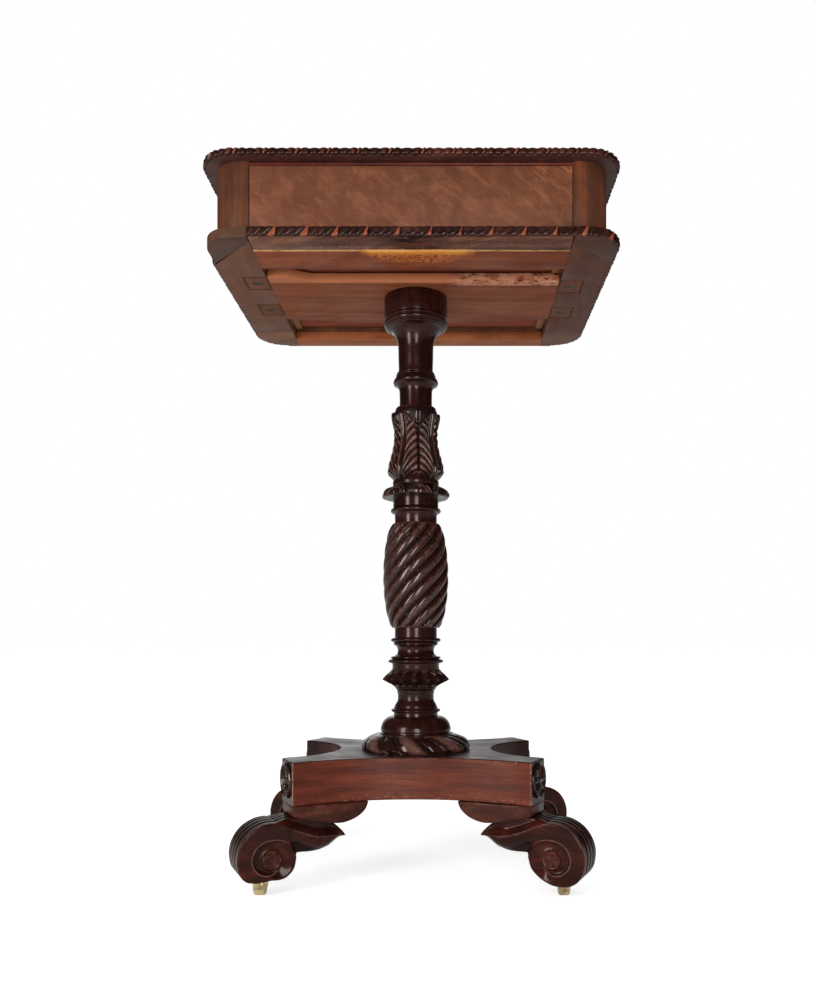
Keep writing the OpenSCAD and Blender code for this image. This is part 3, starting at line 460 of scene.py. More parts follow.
strip_wood = wood_finish("strip_mahogany", rgb(60, 33, 25), rgb(101, 63, 48), rgb(144, 100, 76), "X", 0.9, 0.8, 0.6,
                         shiny=0.4, dull=0.6, specular=0.12)
rail_wood = wood_finish("front_rail_mahogany", rgb(98, 48, 30), rgb(131, 69, 44), rgb(164, 93, 57),
                        "X", 0.7, 0.4, 0.7,
                        shiny=0.45, dull=0.65, specular=0.12)
bearer_wood = wood_finish("bearer_mahogany", rgb(102, 54, 34), rgb(132, 72, 46), rgb(160, 94, 64),
                          "X", 0.7, 0.35, 0.8,
                          shiny=0.5, dull=0.7, bump=0.25, specular=0.12)

JOINT_Y = -0.1245
for wood in (strip_wood, rail_wood):
    net, here, axis = axes(wood)
    far = put(net, "CombineXYZ", {"X": times(net, minus(net, axis["X"], 0.006), 0.56),
                                  "Y": minus(net, axis["Y"], JOINT_Y)}).outputs[0]
    reach = put(net, "VectorMath", {0: far}, operation="LENGTH").outputs["Value"]
    wander = times(net, minus(net, noise(net, here, 150.0, 4.0, 0.7), 0.5), 0.012)
    ragged = plus(net, reach, wander)
    grit = patchy(net, here, (230, 300, 300), 5.0, 0.8, 0.47, 0.54)
    dense = span(net, noise(net, stretch(net, here, (60, 620, 620), (4, 2, 1)), 1.0, 4.0, 0.75), 0.40, 0.50, 0.40, 1.0)
    behind = span(net, axis["Y"], JOINT_Y - 0.002, JOINT_Y)
    close = span(net, axis["Y"], JOINT_Y + 0.013, JOINT_Y + 0.004)
    inside = times(net, span(net, ragged, 0.0345, 0.0275), behind)
    add_mask(wood, times(net, inside, 0.55), rgb(112, 50, 28))
    add_mask(wood, times(net, inside, times(net, grit, 0.9)), rgb(206, 118, 56))
    add_mask(wood, times(net, times(net, inside, close), dense), rgb(234, 156, 60))
    line = times(net, near_line(net, axis["Y"], JOINT_Y + 0.0018, 0.0024),
                 patchy(net, here, (50, 300, 300), 3.0, 0.6, 0.36, 0.50))
    add_mask(wood, times(net, line, 0.9), rgb(236, 190, 128))

# The right end is darker and redder than the left
for wood, share in ((strip_wood, 0.26), (rail_wood, 0.34), (bearer_wood, 0.20)):
    net, here, axis = axes(wood)
    add_mask(wood, span(net, axis["X"], 0.03, 0.15, 0.0, share), rgb(78, 30, 16))
for wood in (side_rail_wood, front_corner_wood, back_corner_wood):
    net, here, axis = axes(wood)
    add_mask(wood, span(net, axis["X"], 0.10, 0.16, 0.0, 0.34), rgb(62, 24, 14))
net, here, axis = axes(side_rail_wood)
add_mask(side_rail_wood, span(net, axis["X"], -0.10, -0.16, 0.0, 0.14), rgb(160, 118, 90))

# The strip's soot, scar, flakes and pale left end
net, here, axis = axes(strip_wood)
soot = times(net, near_line(net, axis["X"], 0.0, 0.042), patchy(net, here, (40, 90, 90), 4.0, 0.6, 0.36, 0.56))
add_mask(strip_wood, calc(net, "MULTIPLY", soot, 1.25, clamp=True), rgb(20, 9, 7))
scar = times(net, near_line(net, axis["X"], 0.004, 0.030), near_line(net, axis["Y"], JOINT_Y - 0.012, 0.004))
scar = times(net, scar, patchy(net, here, (60, 400, 400), 3.0, 0.6, 0.42, 0.55))
add_mask(strip_wood, times(net, scar, 0.9), rgb(156, 84, 52))
flakes = patchy(net, here, (260, 420, 420), 4.0, 0.75, 0.60, 0.66, (7, 1, 3))
flakes = times(net, flakes, span(net, axis["Y"], JOINT_Y - 0.020, JOINT_Y - 0.006))
add_mask(strip_wood, times(net, flakes, 0.75), rgb(212, 180, 156))
pale_end = times(net, span(net, axis["X"], -0.085, -0.13), span(net, noise(net, here, 45.0, 4.0, 0.6), 0.4, 0.6))
add_mask(strip_wood, times(net, pale_end, 0.6), rgb(142, 104, 84))

BEARER_Y = -0.0475
net, here, axis = axes(bearer_wood)
edge_line = times(net, span(net, axis["Y"], BEARER_Y + 0.0045, BEARER_Y + 0.0005),
                  span(net, calc(net, "ABSOLUTE", axis["X"]), 0.1585, 0.1575))
rough_edge = noise(net, stretch(net, here, (120, 260, 260)), 1.0, 4.0, 0.7)
left_part = span(net, axis["X"], 0.055, 0.035)
add_mask(bearer_wood, times(net, edge_line, times(net, left_part, 0.75)), rgb(184, 116, 80))
right_part = minus(net, 1.0, left_part)
ragged_y = plus(net, axis["Y"], times(net, minus(net, rough_edge, 0.5), 0.008))
broken = times(net, span(net, ragged_y, BEARER_Y + 0.010, BEARER_Y + 0.008), right_part)
broken = times(net, broken, span(net, axis["X"], 0.1585, 0.1575))
add_mask(bearer_wood, times(net, broken, span(net, rough_edge, 0.35, 0.60, 0.95, 0.45)), rgb(208, 148, 114))
reddish = patchy(net, here, (60, 90, 90), 3.0, 0.6, 0.52, 0.60, (1, 4, 2))
add_mask(bearer_wood, times(net, times(net, broken, reddish), 0.7), rgb(134, 58, 38))
add_mask(bearer_wood, times(net, broken, span(net, rough_edge, 0.56, 0.61)), rgb(64, 28, 20))
ends = span(net, calc(net, "ABSOLUTE", axis["X"]), 0.1593, 0.1600)
add_mask(bearer_wood, times(net, ends, 0.8), rgb(98, 62, 46))
stain = noise(net, stretch(net, here, (9, 20, 20), (2, 2, 5)), 1.0, 4.0, 0.6)
add_mask(bearer_wood, times(net, span(net, stain, 0.52, 0.70), 0.35), rgb(150, 112, 88))

# Dirt in the joints: round the four laps, at the corner blocks and beside the drawer front
LAP_X, LAP_Y, LAP_APART, LAP_SHIFT, LAP_HALF_X, LAP_HALF_Y = 0.172, -0.0065, 0.037, 0.009, 0.0125, 0.016
for wood in (bearer_wood, side_rail_wood):
    net, here, axis = axes(wood)
    shifted = minus(net, axis["Y"], span(net, axis["X"], -0.001, 0.001, 0.0, LAP_SHIFT))
    row = calc(net, "ABSOLUTE", minus(net, shifted, LAP_Y))
    from_y = calc(net, "ABSOLUTE", minus(net, row, LAP_APART))
    from_x = calc(net, "ABSOLUTE", minus(net, calc(net, "ABSOLUTE", axis["X"]), LAP_X))
    edge = calc(net, "MAXIMUM", minus(net, from_x, LAP_HALF_X), minus(net, from_y, LAP_HALF_Y))
    add_mask(wood, times(net, near_line(net, edge, 0.0002, 0.0016), 0.9), rgb(24, 11, 8))
    from_screw = put(net, "CombineXYZ", {"X": from_x, "Y": from_y}).outputs[0]
    ring = near_line(net, put(net, "VectorMath", {0: from_screw}, operation="LENGTH").outputs["Value"], 0.0036, 0.0011)
    add_mask(wood, times(net, ring, 0.7), rgb(28, 14, 10))
OPEN_EDGE = 0.1595
for wood, share in ((front_corner_wood, 0.9), (frieze_wood, 0.85), (strip_wood, 0.8)):
    net, here, axis = axes(wood)
    line = near_line(net, calc(net, "ABSOLUTE", axis["X"]), OPEN_EDGE, 0.0016)
    add_mask(wood, times(net, line, share), rgb(22, 10, 8))
print("boards with masks:", frieze_wood.name, strip_wood.name, rail_wood.name, bearer_wood.name)

# %% [markdown]
# The platform's front is a hollow face of dark red wood, polished over the fine
# ridges of its grain. What a polished face mirrors moves with the camera, so none
# of it is painted. The colour is plain wood in two close tones, and the gloss is
# left to the shader and the lamps. The ridges run along X. The top and the canted
# ends are darker.

# %% Platform finish
RIDGE_HEIGHT = 1.5


def platform_finish():
    """Dark wood with a redder front: two tones by noise along X, less what pits and chips take, plus worn arrises."""
    material, net = new_material("platform_mahogany")
    here = put(net, "TexCoord").outputs["Object"]
    axis = put(net, "SeparateXYZ", {"Vector": here}).outputs
    far = calc(net, "ABSOLUTE", axis["X"])
    front = times(net, span(net, axis["Y"], -0.068, -0.076), span(net, axis["Z"], 0.1342, 0.1334))
    front = times(net, front, span(net, far, 0.1212, 0.1204))
    canted = span(net, far, 0.1206, 0.1214)
    level = span(net, axis["Z"], 0.1334, 0.1342)
    plain = tint(net, calc(net, "MAXIMUM", canted, level), rgb(46, 20, 15), rgb(30, 14, 10))
    figure = noise(net, stretch(net, here, (9, 9, 60)), 1.0, 4.0, 0.6)
    colour = tint(net, front, plain, tint(net, span(net, figure, 0.36, 0.66), rgb(68, 22, 13), rgb(110, 46, 27)))
    streak = patchy(net, here, (16, 16, 1000), 3.0, 0.65, 0.42, 0.70)
    streaked = tint(net, 1.0, colour, rgb(150, 112, 100), "MULTIPLY")
    colour = tint(net, times(net, streak, 0.68), colour, streaked)
    pits = patchy(net, here, (70, 70, 900), 3.0, 0.65, 0.60, 0.68, (2, 3, 1))
    colour = tint(net, times(net, pits, times(net, front, 0.75)), colour, rgb(44, 20, 15))
    chips = noise(net, stretch(net, here, (220, 220, 420)), 1.0, 4.0, 0.7)
    edge = calc(net, "MAXIMUM", span(net, axis["Z"], 0.0985, 0.0905), span(net, axis["Z"], 0.1325, 0.1340))
    dark = times(net, span(net, chips, 0.60, 0.66), times(net, edge, front))
    pale = times(net, span(net, chips, 0.44, 0.38), times(net, edge, front))
    colour = tint(net, times(net, dark, 0.85), colour, rgb(40, 20, 16))
    colour = tint(net, times(net, pale, 0.22), colour, rgb(196, 164, 142))
    arris = times(net, near_line(net, far, 0.1206, 0.0011), span(net, axis["Y"], -0.1165, -0.1185))
    rubbed = times(net, arris, times(net, span(net, chips, 0.42, 0.55), 0.55))
    colour = tint(net, rubbed, colour, rgb(186, 158, 140))
    smoky = patchy(net, here, (14, 30, 30), 5.0, 0.7, 0.5, 0.75)
    colour = tint(net, times(net, level, times(net, smoky, 0.5)), colour, rgb(98, 64, 50))
    dull = calc(net, "MULTIPLY_ADD", front, 0.04, 0.24)
    rough = plus(net, dull, times(net, span(net, noise(net, here, 26.0, 4.0), 0.35, 0.65), 0.16))
    height = plus(net, times(net, streak, -0.6), times(net, dark, -1.5))
    ridges = noise(net, stretch(net, here, (14, 14, 1100)), 1.0, 2.0, 0.6)
    height = plus(net, height, times(net, times(net, ridges, front), RIDGE_HEIGHT))
    bumps = put(net, "Bump", {"Height": height, "Strength": 0.4, "Distance": 0.3 * MM})
    shader = put(net, "BsdfPrincipled", {"Base Color": colour, "Roughness": rough, "Normal": bumps.outputs[0],
                                         "Specular IOR Level": 0.35, "Specular Tint": VARNISH})
    put(net, "OutputMaterial", {"Surface": shader.outputs[0]})
    return material


platform_wood = platform_finish()
print("platform finish", platform_wood.name)


# %% [markdown]
# The castors are brass that has darkened between the polished places, and the
# screws of the bearer board are iron under old wax. Both are metals, so the
# colour goes into their reflection.

# %% Metal materials
def metal_finish(name, bright, tarnish, shiny, dull):
    """A metal with tarnish in soft patches."""
    material, net = new_material(name)
    here = put(net, "TexCoord").outputs["Object"]
    patches = span(net, noise(net, here, 90.0, 3.0, 0.5), 0.40, 0.75)
    rough = put(net, "Mix", {0: patches, 2: shiny, 3: dull}, data_type="FLOAT").outputs[0]
    bumps = put(net, "Bump", {"Height": noise(net, here, 900.0, 3.0), "Strength": 0.15, "Distance": 0.2 * MM})
    shader = put(net, "BsdfPrincipled", {"Base Color": tint(net, patches, bright, tarnish), "Metallic": 1.0,
                                         "Roughness": rough, "Normal": bumps.outputs[0]})
    put(net, "OutputMaterial", {"Surface": shader.outputs[0]})
    return material


brass = metal_finish("aged_brass", rgb(240, 222, 172), rgb(142, 120, 76), 0.18, 0.36)
iron = metal_finish("screw_iron", rgb(96, 78, 62), rgb(52, 38, 30), 0.4, 0.65)
print("metals", brass.name, iron.name)


# %% [markdown]
# Every carved piece below is a table of points: one row for each step along the
# piece and one column for each step round it, worked out with numpy for the
# whole table at once. Neighbouring rows are joined by four-sided faces and the
# two ends are closed by a fan of triangles.

# %% Helpers for surfaces
def loft(rows):
    """Faces over a table of points rows[i, k], closed round k, with a fan at each end."""
    count, around, _ = rows.shape
    index = np.arange(count * around).reshape(count, around)
    ahead = np.roll(index, -1, axis=1)
    quads = np.stack([index[:-1], ahead[:-1], ahead[1:], index[1:]], -1).reshape(-1, 4)
    first, last = count * around, count * around + 1
    fans = np.concatenate([np.stack([np.full(around, first), ahead[0], index[0]], -1),
                           np.stack([np.full(around, last), index[-1], ahead[-1]], -1)])
    points = np.concatenate([rows.reshape(-1, 3), [rows[0].mean(0)], [rows[-1].mean(0)]])
    return points, quads.tolist() + fans.tolist()


def volume(points, faces):
    """Signed volume: positive where the faces point outwards."""
    triangles = np.array([[f[0], f[i], f[i + 1]] for f in faces[::7] for i in range(1, len(f) - 1)])
    a, b, c = (points[triangles[:, i]] - points.mean(0) for i in range(3))
    return float(np.einsum("ij,ij->i", a, np.cross(b, c)).sum())


def piece(name, points, faces, material, slot, replaces=(), body="table", depth=None, sharp=40, weld=False):
    """Makes a finished piece from points in millimetres; its object stays at the origin."""
    if volume(points, faces) < 0:
        faces = [f[::-1] for f in faces]
    mesh = bpy.data.meshes.new(name)
    mesh.from_pydata((points * MM).tolist(), [], faces)
    if depth is not None:
        layer = mesh.attributes.new("depth", "FLOAT", "POINT")
        layer.data.foreach_set("value", np.clip(depth, 0, 1).astype(np.float32))
    if weld:
        shell = bmesh.new()
        shell.from_mesh(mesh)
        bmesh.ops.remove_doubles(shell, verts=shell.verts, dist=0.001 * MM)
        shell.to_mesh(mesh)
        shell.free()
    mesh.shade_smooth()
    mesh.set_sharp_from_angle(angle=math.radians(sharp))
    mesh.materials.append(material)
    thing = bpy.data.objects.new(name, mesh)
    scene.collection.objects.link(thing)
    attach(thing, body)
    if replaces:
        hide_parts(*replaces)
    print(name, len(mesh.polygons), "faces")
    return thing


def with_ends(values):
    """The depth values of a table and of the two points that close it."""
    return np.concatenate([values.reshape(-1), [values[0].mean()], [values[-1].mean()]])


def smooth(value):
    """An even S-shaped step from 0 to 1."""
    value = np.clip(value, 0, 1)
    return value * value * (3 - 2 * value)


def round_surface(radius, height, angle):
    """Points at a radius, height and angle in degrees, which may be whole tables."""
    radius, height, angle = np.broadcast_arrays(radius, height, np.radians(angle))
    return np.stack([radius * np.cos(angle), radius * np.sin(angle), height], -1)


# %% [markdown]
# Turned members are profiles of radius against height. The turner's shapes have
# names: a bead is a half round, a scotia is a hollow, a cove is a quarter
# hollow. Each is a short formula, and a member is a chain of them spun about the
# column's axis.

# %% Turned profiles
def bead(r, z, h, out, n=16):
    """Half round on a wall of radius r: r plus out times the sine, over the height h."""
    a = np.linspace(0, np.pi, n)
    return np.stack([r + out * np.sin(a), z + h * (1 - np.cos(a)) / 2], -1)


def sweep(ra, za, rb, zb, n=14):
    """S curve between two radii: half a cosine wave."""
    u = np.linspace(0, 1, n)
    return np.stack([ra + (rb - ra) * (1 - np.cos(np.pi * u)) / 2, za + (zb - za) * u], -1)


def cove(ra, za, rb, zb, n=18):
    """Quarter hollow that starts upright at ra and ends level at rb."""
    a = np.linspace(0, np.pi / 2, n)
    return np.stack([ra + (rb - ra) * (1 - np.cos(a)), za + (zb - za) * np.sin(a)], -1)


def turned(name, parts, material=turned_wood, around=144, **options):
    """Spins a chain of profile parts about the column's axis."""
    profile = np.concatenate([np.atleast_2d(np.array(p, float)) for p in parts])
    angle = np.arange(around) * 360 / around
    points, faces = loft(round_surface(profile[:, :1], profile[:, 1:], angle[None, :]))
    return piece(name, points, faces, material, "carved_mahogany", sharp=32, **options)


# Heights of the column's members, floor to top, as in the CAD model
PLATFORM_Z, COLLAR_TOP, BALUSTER_Z, RINGS_Z, LEAVES_Z, VASE_Z, NECK_Z, HEAD_Z, LOWER_Z, TOP_Z = (
    134.5, 176.5, 272.5, 392.0, 421.3, 440.0, 524.0, 614.0, 650.0, 729.0)
SHAFT = 24.1

turned("top_collar_turned", [
    [(14, HEAD_Z), (31.5, HEAD_Z)], sweep(32.5, HEAD_Z + 0.6, 35.0, HEAD_Z + 2.6),
    bead(34.4, HEAD_Z + 3.2, 5.4, 2.0), [(34.2, HEAD_Z + 8.8)], bead(34.4, HEAD_Z + 9.2, 2.6, 1.3),
    [(36, HEAD_Z + 12.4), (36.2, HEAD_Z + 14), (36.2, LOWER_Z - 1), (35.8, LOWER_Z), (14, LOWER_Z)]],
       replaces=["top_collar"])

turned("column_neck", [
    [(12, NECK_Z), (18.7, NECK_Z), (18.5, NECK_Z + 9), (18.7, NECK_Z + 16)],
    cove(18.7, NECK_Z + 18, 24.8, NECK_Z + 27.2),
    [(25.4, NECK_Z + 28.2), (25.7, NECK_Z + 29.4), (25.5, NECK_Z + 30.6)],
    sweep(25.0, NECK_Z + 31.6, 22.8, NECK_Z + 35.2),
    bead(21.6, NECK_Z + 35.6, 2.4, 1.2, 8), bead(20.4, NECK_Z + 38.2, 2.4, 1.3, 8), [(19.8, NECK_Z + 41)],
    sweep(19.6, NECK_Z + 44, 20.0, NECK_Z + 64), cove(20, NECK_Z + 66, 31.5, HEAD_Z, 26), [(12, HEAD_Z)]],
       replaces=["column"])

# %% [markdown]
# The vase below the neck is wrapped in four upright leaves. Round each leaf's
# dark vein the leaflets fall outwards like the ribs of a feather, and between
# two leaves stands a smooth stalk. The relief is worked out on the unrolled
# surface: across is the distance from the vein, up is the height. Adding the
# fall of the leaflets to the height turns plain stripes into drooping ones.

# %% Leaf-carved vase
LEAFLET_PITCH, CARVED_TURN, VASE_H = 8.8, 8, NECK_Z - VASE_Z


def leaf_relief(across, up, stalk_at):
    """Height of the carving: leaflets as rounded stripes, minus the vein, plus the stalk and the bare shoulder."""
    fall = 0.30 * across + 0.045 * across ** 2
    phase = (up + fall) / LEAFLET_PITCH
    stripe = np.abs(np.sin(np.pi * phase)) ** 0.6
    edge = smooth((stalk_at - 4.4 - across) / 2.2)
    low = smooth((up - 3.5) / 6)
    crown = 58 + 18 * np.sin(np.clip(across / 22, 0, 1) * np.pi / 2) ** 0.85
    inside = smooth((crown - up) / 1.6)
    leaf = (2.5 * stripe - 0.5) * (0.3 + 0.7 * smooth((crown - up) / 12))
    vein = -2.6 * np.exp(-(across / 1.15) ** 2)
    rim = 0.8 * np.exp(-((crown - 1.6 - up) / 1.4) ** 2)
    stalk = 1.9 * np.exp(-((stalk_at - across) / 2.6) ** 2) - 1.5 * np.exp(-((stalk_at - 4.6 - across) / 1.5) ** 2)
    slim = 4.6 * np.clip(1 - ((up - 70) / 9.5) ** 2, 0, 1) ** 0.5
    tongue_in = smooth((slim - across) / 1.3) * smooth((80 - up) / 2)
    tongue = (3.0 - 2.0 * np.exp(-(across / 0.7) ** 2)) * tongue_in
    carved = inside * low * edge * (leaf + vein) + inside * rim * edge
    bare = -1.6 * (1 - inside) * smooth((up - 58) / 6) * (1 - smooth((up - 80) / 4))
    return carved + stalk * smooth((crown + 1 - up) / 4) * smooth((up - 1) / 5) + np.maximum(bare + tongue, bare)


def vase():
    """Radius is the smoothed silhouette plus the leaves' relief; four leaves, so the angle repeats every 90 degrees."""
    up = np.linspace(0, VASE_H, 200)[:, None]
    angle = (np.arange(480) * 0.75)[None, :]
    silhouette = np.array([(0, 24.6), (1.2, 26.2), (4, 29.0), (8, 31.0), (12.5, 31.7), (18, 31.0), (25, 29.2),
                           (32, 27.2), (40, 25.4), (48, 24.4), (56, 24.6), (63, 25.6), (70, 27.4), (76, 28.0),
                           (80, 27.2), (82.6, 25.4), (84, 22.6)])
    radius = np.interp(up, silhouette[:, 0], silhouette[:, 1])
    radius = np.apply_along_axis(lambda c: np.convolve(np.pad(c, 6, "edge"), np.ones(13) / 13, "valid"), 0, radius)
    turn = (angle - CARVED_TURN + 45) % 90 - 45
    across = np.abs(np.radians(turn)) * radius
    relief = leaf_relief(across, up, np.radians(45) * radius)
    ends = smooth(up / 2.5) * smooth((VASE_H - up) / 2)
    points, faces = loft(round_surface(radius - 1.2 + relief * ends, VASE_Z + up, angle))
    return piece("column_vase", points, faces, carved_wood, "carved_mahogany",
                 depth=with_ends((relief + 2.0) / 4.2 + 0 * angle))


vase()

# %% [markdown]
# Under the vase hangs a flaring collar of eight leaves. Each leaf is an arch,
# with a rim, a second arch inside it and a rib, and the ground between the
# arches is cut away. Below it come plain turned rings and bands.

# %% Leaf collar and bands
def leaf_collar():
    """Radius is a flaring skirt plus arches: inside is 1 below an arch's line, rim and second are bumps beside it."""
    up = np.linspace(0, 1, 110)[:, None]
    angle = (np.arange(640) * 0.5625)[None, :]
    height = np.interp(up, [0, 0.06, 0.2, 0.45, 0.75, 1], [0.1, 0.9, 4.0, 8.8, 11.8, 14.2])
    radius = np.interp(up, [0, 0.06, 0.2, 0.45, 0.75, 1], [36.3, 37.4, 37.7, 34.4, 28.6, 25.9])
    turn = (angle - CARVED_TURN + 22.5) % 45 - 22.5
    share = np.abs(turn) / 22.5
    top = 0.86 - 0.80 * share ** 2.2
    below = (top - up) / 0.86
    inside = smooth(below / 0.05)
    rim = np.exp(-((below - 0.10) / 0.06) ** 2)
    second = np.exp(-((below - 0.42 - 0.1 * share) / 0.09) ** 2)
    rib = np.exp(-(turn / 1.6) ** 2) * smooth((below - 0.5) / 0.1)
    relief = inside * (1.6 + 1.3 * rim + 1.1 * second - 0.9 * rib) - 1.6 * (1 - inside)
    relief = relief * smooth(up / 0.03) * smooth((1 - up) / 0.12)
    skirt = np.linspace(25.9, 36.2, 8)[:, None]
    flat = round_surface(skirt, LEAVES_Z, angle)
    shape = round_surface(radius - 1.4 + relief, LEAVES_Z + height, angle)
    rows = np.concatenate([flat, shape])
    # The flat underside gets a depth of 0.3, so it is painted darker: painted shade under the collar.
    depth = np.concatenate([np.full((8, 640), 0.3), (relief + 1.8) / 5 + 0 * angle])
    points, faces = loft(rows)
    return piece("column_leaf_collar", points, faces, carved_wood, "carved_mahogany", depth=with_ends(depth))


leaf_collar()
turned("column_bands", [
    [(12, RINGS_Z), (SHAFT, RINGS_Z), (SHAFT, RINGS_Z + 11)], bead(SHAFT + 0.3, RINGS_Z + 11.6, 6.0, 4.3, 18),
    [(25.2, RINGS_Z + 18.2), (25.9, RINGS_Z + 18.6), (25.9, LEAVES_Z), (12, LEAVES_Z)]])
turned("column_band_over_leaves", [
    [(12, 434.6), (25.6, 434.6)], bead(25.8, 435.0, 5.8, 0.7, 10), [(25.4, 441.2), (12, 441.2)]])

# %% [markdown]
# The baluster is reeded on a spiral. A reed is a half round that climbs round
# the belly: its angle grows with its height, and the valleys between reeds are
# narrow. At both ends the valleys run out, so each reed ends like a fingertip.

# %% Spiral reeded baluster
REEDS, REED_TURN, REED_CUT, BELLY = 12, 205, 4.8, 37.4


def baluster():
    """Radius is a sine-shaped belly less a cut; across is the place in a reed, at an angle that grows with height."""
    u = np.linspace(0, 1, 220)[:, None]
    u = u / 2 + (1 - np.cos(np.pi * u)) / 4
    angle = (np.arange(420) * 360 / 420)[None, :]
    radius = SHAFT + 0.6 + (BELLY - SHAFT - 0.6) * np.sin(np.pi * u) ** 0.45
    across = ((angle - REED_TURN * u) / (360 / REEDS) + 0.5) % 1 * 2 - 1
    reed = np.sqrt(np.clip(1 - (np.abs(across) / 1.02) ** 2.3, 0, 1))
    fade = smooth(u * 38) * smooth((1 - u) * 38)
    cut = REED_CUT * (1 - reed) * fade
    points, faces = loft(round_surface(radius - cut, BALUSTER_Z + (RINGS_Z - BALUSTER_Z) * u, angle))
    return piece("column_baluster", points, faces, carved_wood, "carved_mahogany",
                 depth=with_ends(0.88 * (1 - cut / REED_CUT)))


baluster()

# %% [markdown]
# Below the baluster come rings and a scotia, then a collar of sixteen hollow
# petals with sharp ridges between them, and last a torus on the base. The
# hollows are arched at the top: each stops along a round line, which is why its
# depth is a product of a fade across and a fade up.

# %% Lower turning and petal collar
PETAL_Z = COLLAR_TOP + 96 * 0.29
PETAL_H = 96 * 0.22
RING_Z = PETAL_Z + PETAL_H
PETALS, PETAL_CUT = 16, 3.6


def petal_collar():
    """Radius is a profile less a hollow, which is a parabola across a petal and fades at an arched line."""
    u = np.linspace(0, 1, 100)[:, None]
    angle = (np.arange(640) * 0.5625)[None, :]
    height = np.interp(u, [0, 0.14, 0.3, 0.36, 0.44, 0.62, 0.84, 1], [0, 3.6, 7.6, 9.0, 10.0, 14.2, 18.6, PETAL_H])
    radius = np.interp(u, [0, 0.14, 0.3, 0.36, 0.44, 0.62, 0.84, 1], [23.2, 27.6, 35.6, 37.9, 38.1, 34.4, 29.4, 27.8])
    share = np.abs((angle - 270) / (360 / PETALS) % 1 - 0.5) * 2
    hollow = 1 - share ** 2
    arch = smooth((0.93 - 0.34 * share ** 2.4 - u) / 0.08)
    lower = smooth((u - 0.02) / 0.2)
    cut = PETAL_CUT * hollow * arch * lower
    lip = 1.9 * hollow * np.exp(-((u - 0.36) / 0.10) ** 2)
    points, faces = loft(round_surface(radius - cut, PETAL_Z + height + lip, angle))
    return piece("column_petal_collar", points, faces, carved_wood, "carved_mahogany",
                 depth=with_ends(0.26 + 0.58 * (1 - cut / PETAL_CUT)))


petal_collar()
turned("column_rings", [
    [(12, RING_Z), (26.7, RING_Z), (27.0, RING_Z + 1), (26.6, RING_Z + 4), (27.0, RING_Z + 6.6)],
    bead(27.4, RING_Z + 7, 4.6, 4.2, 18), [(26.8, RING_Z + 11.9)], bead(26.2, RING_Z + 12, 2.8, 2.5, 10),
    [(25.2, RING_Z + 15)], bead(24.6, RING_Z + 15.6, 12.0, -3.9, 22), [(24.6, RING_Z + 28)],
    bead(24.2, RING_Z + 28.2, 2.6, 1.3, 10), bead(24.6, RING_Z + 31, 5.0, 4.0, 18), [(SHAFT, RING_Z + 36.6)],
    [(SHAFT, BALUSTER_Z), (12, BALUSTER_Z)]])
turned("column_torus", [
    [(12, COLLAR_TOP), (25.4, COLLAR_TOP)], bead(24.7, COLLAR_TOP, 4.2, 3.4, 16), [(24.4, COLLAR_TOP + 4.4)],
    bead(24.4, COLLAR_TOP + 4.6, 1.6, 0.8, 8), sweep(24.2, COLLAR_TOP + 6.4, 20.6, COLLAR_TOP + 15),
    sweep(20.6, COLLAR_TOP + 20, 21.4, COLLAR_TOP + 24.2), sweep(21.4, COLLAR_TOP + 24.4, 23.4, PETAL_Z),
    [(12, PETAL_Z)]])

# %% [markdown]
# The base collar is a dome over a ring of gadroons, the swollen lobes that
# swirl outwards to the platform. Broad lobes take turns with narrow reeds. The
# swirl is an angle that grows as a lobe runs down and out.

# %% Base collar
LOBES, SWIRL, WIDE_SHARE, LOBE_CUT = 7, 26, 0.68, 3.8


def base_collar():
    """Radius is a profile less what lies beside the lobes, each a rounded arch across a share of its turn."""
    u = np.linspace(0, 1, 150)[:, None]
    angle = (np.arange(560) * 360 / 560)[None, :]
    height = np.interp(u, [0, 0.08, 0.22, 0.42, 0.62, 0.82, 1.0], [0, 1.2, 4.2, 9.4, 13.6, 16.6, 17.8])
    radius = np.interp(u, [0, 0.08, 0.22, 0.42, 0.62, 0.82, 1.0], [60.0, 61.8, 62.9, 60.6, 55.6, 49.0, 43.4])
    warp = 6 * np.sin(np.radians(angle + 60))
    turn = ((angle + warp + SWIRL * u) * LOBES / 360) % 1
    wide = turn / WIDE_SHARE
    narrow = (turn - WIDE_SHARE) / 0.32
    lobe = np.where(turn < WIDE_SHARE, np.sqrt(np.clip(1 - np.abs(2 * wide - 1) ** 2.2, 0, 1)),
                    0.62 * np.sqrt(np.clip(1 - np.abs(2 * narrow - 1) ** 2.2, 0, 1)))
    fade = smooth(u / 0.12 + 0.25) * smooth((1.02 - u) / 0.12)
    cut = LOBE_CUT * (1 - lobe) * fade
    level = PLATFORM_Z + height - 0.35 * cut
    points, faces = loft(round_surface(radius - cut * 0.9, level, angle))
    return piece("base_gadroons", points, faces, carved_wood, "carved_mahogany", replaces=["base_collar"],
                 depth=with_ends(0.98 * (1 - cut / LOBE_CUT)))


base_collar()
dome = np.radians(np.linspace(0, 84, 26))
turned("base_dome", [
    [(12, PLATFORM_Z + 16), (42.0, PLATFORM_Z + 16)], bead(41.2, PLATFORM_Z + 16.4, 2.4, 1.1, 12),
    [(39.2, PLATFORM_Z + 19.2), (39.0, PLATFORM_Z + 20.6)],
    np.stack([26.4 + 13.8 * np.cos(dome), PLATFORM_Z + 21.6 + 16.0 * np.sin(dome)], -1),
    [(25.4, PLATFORM_Z + 38.0), (25.1, PLATFORM_Z + 41.0), (25.1, COLLAR_TOP), (12, COLLAR_TOP)]])


# %% [markdown]
# The rope edge is a strip of slanting strands. A strand's place along the edge
# and its height in the strip are added, so the valleys lean, and one strand in
# three is broader and stands out: hands have rubbed that one to bare orange
# wood. The strip follows the plate's edge, round corners and all.

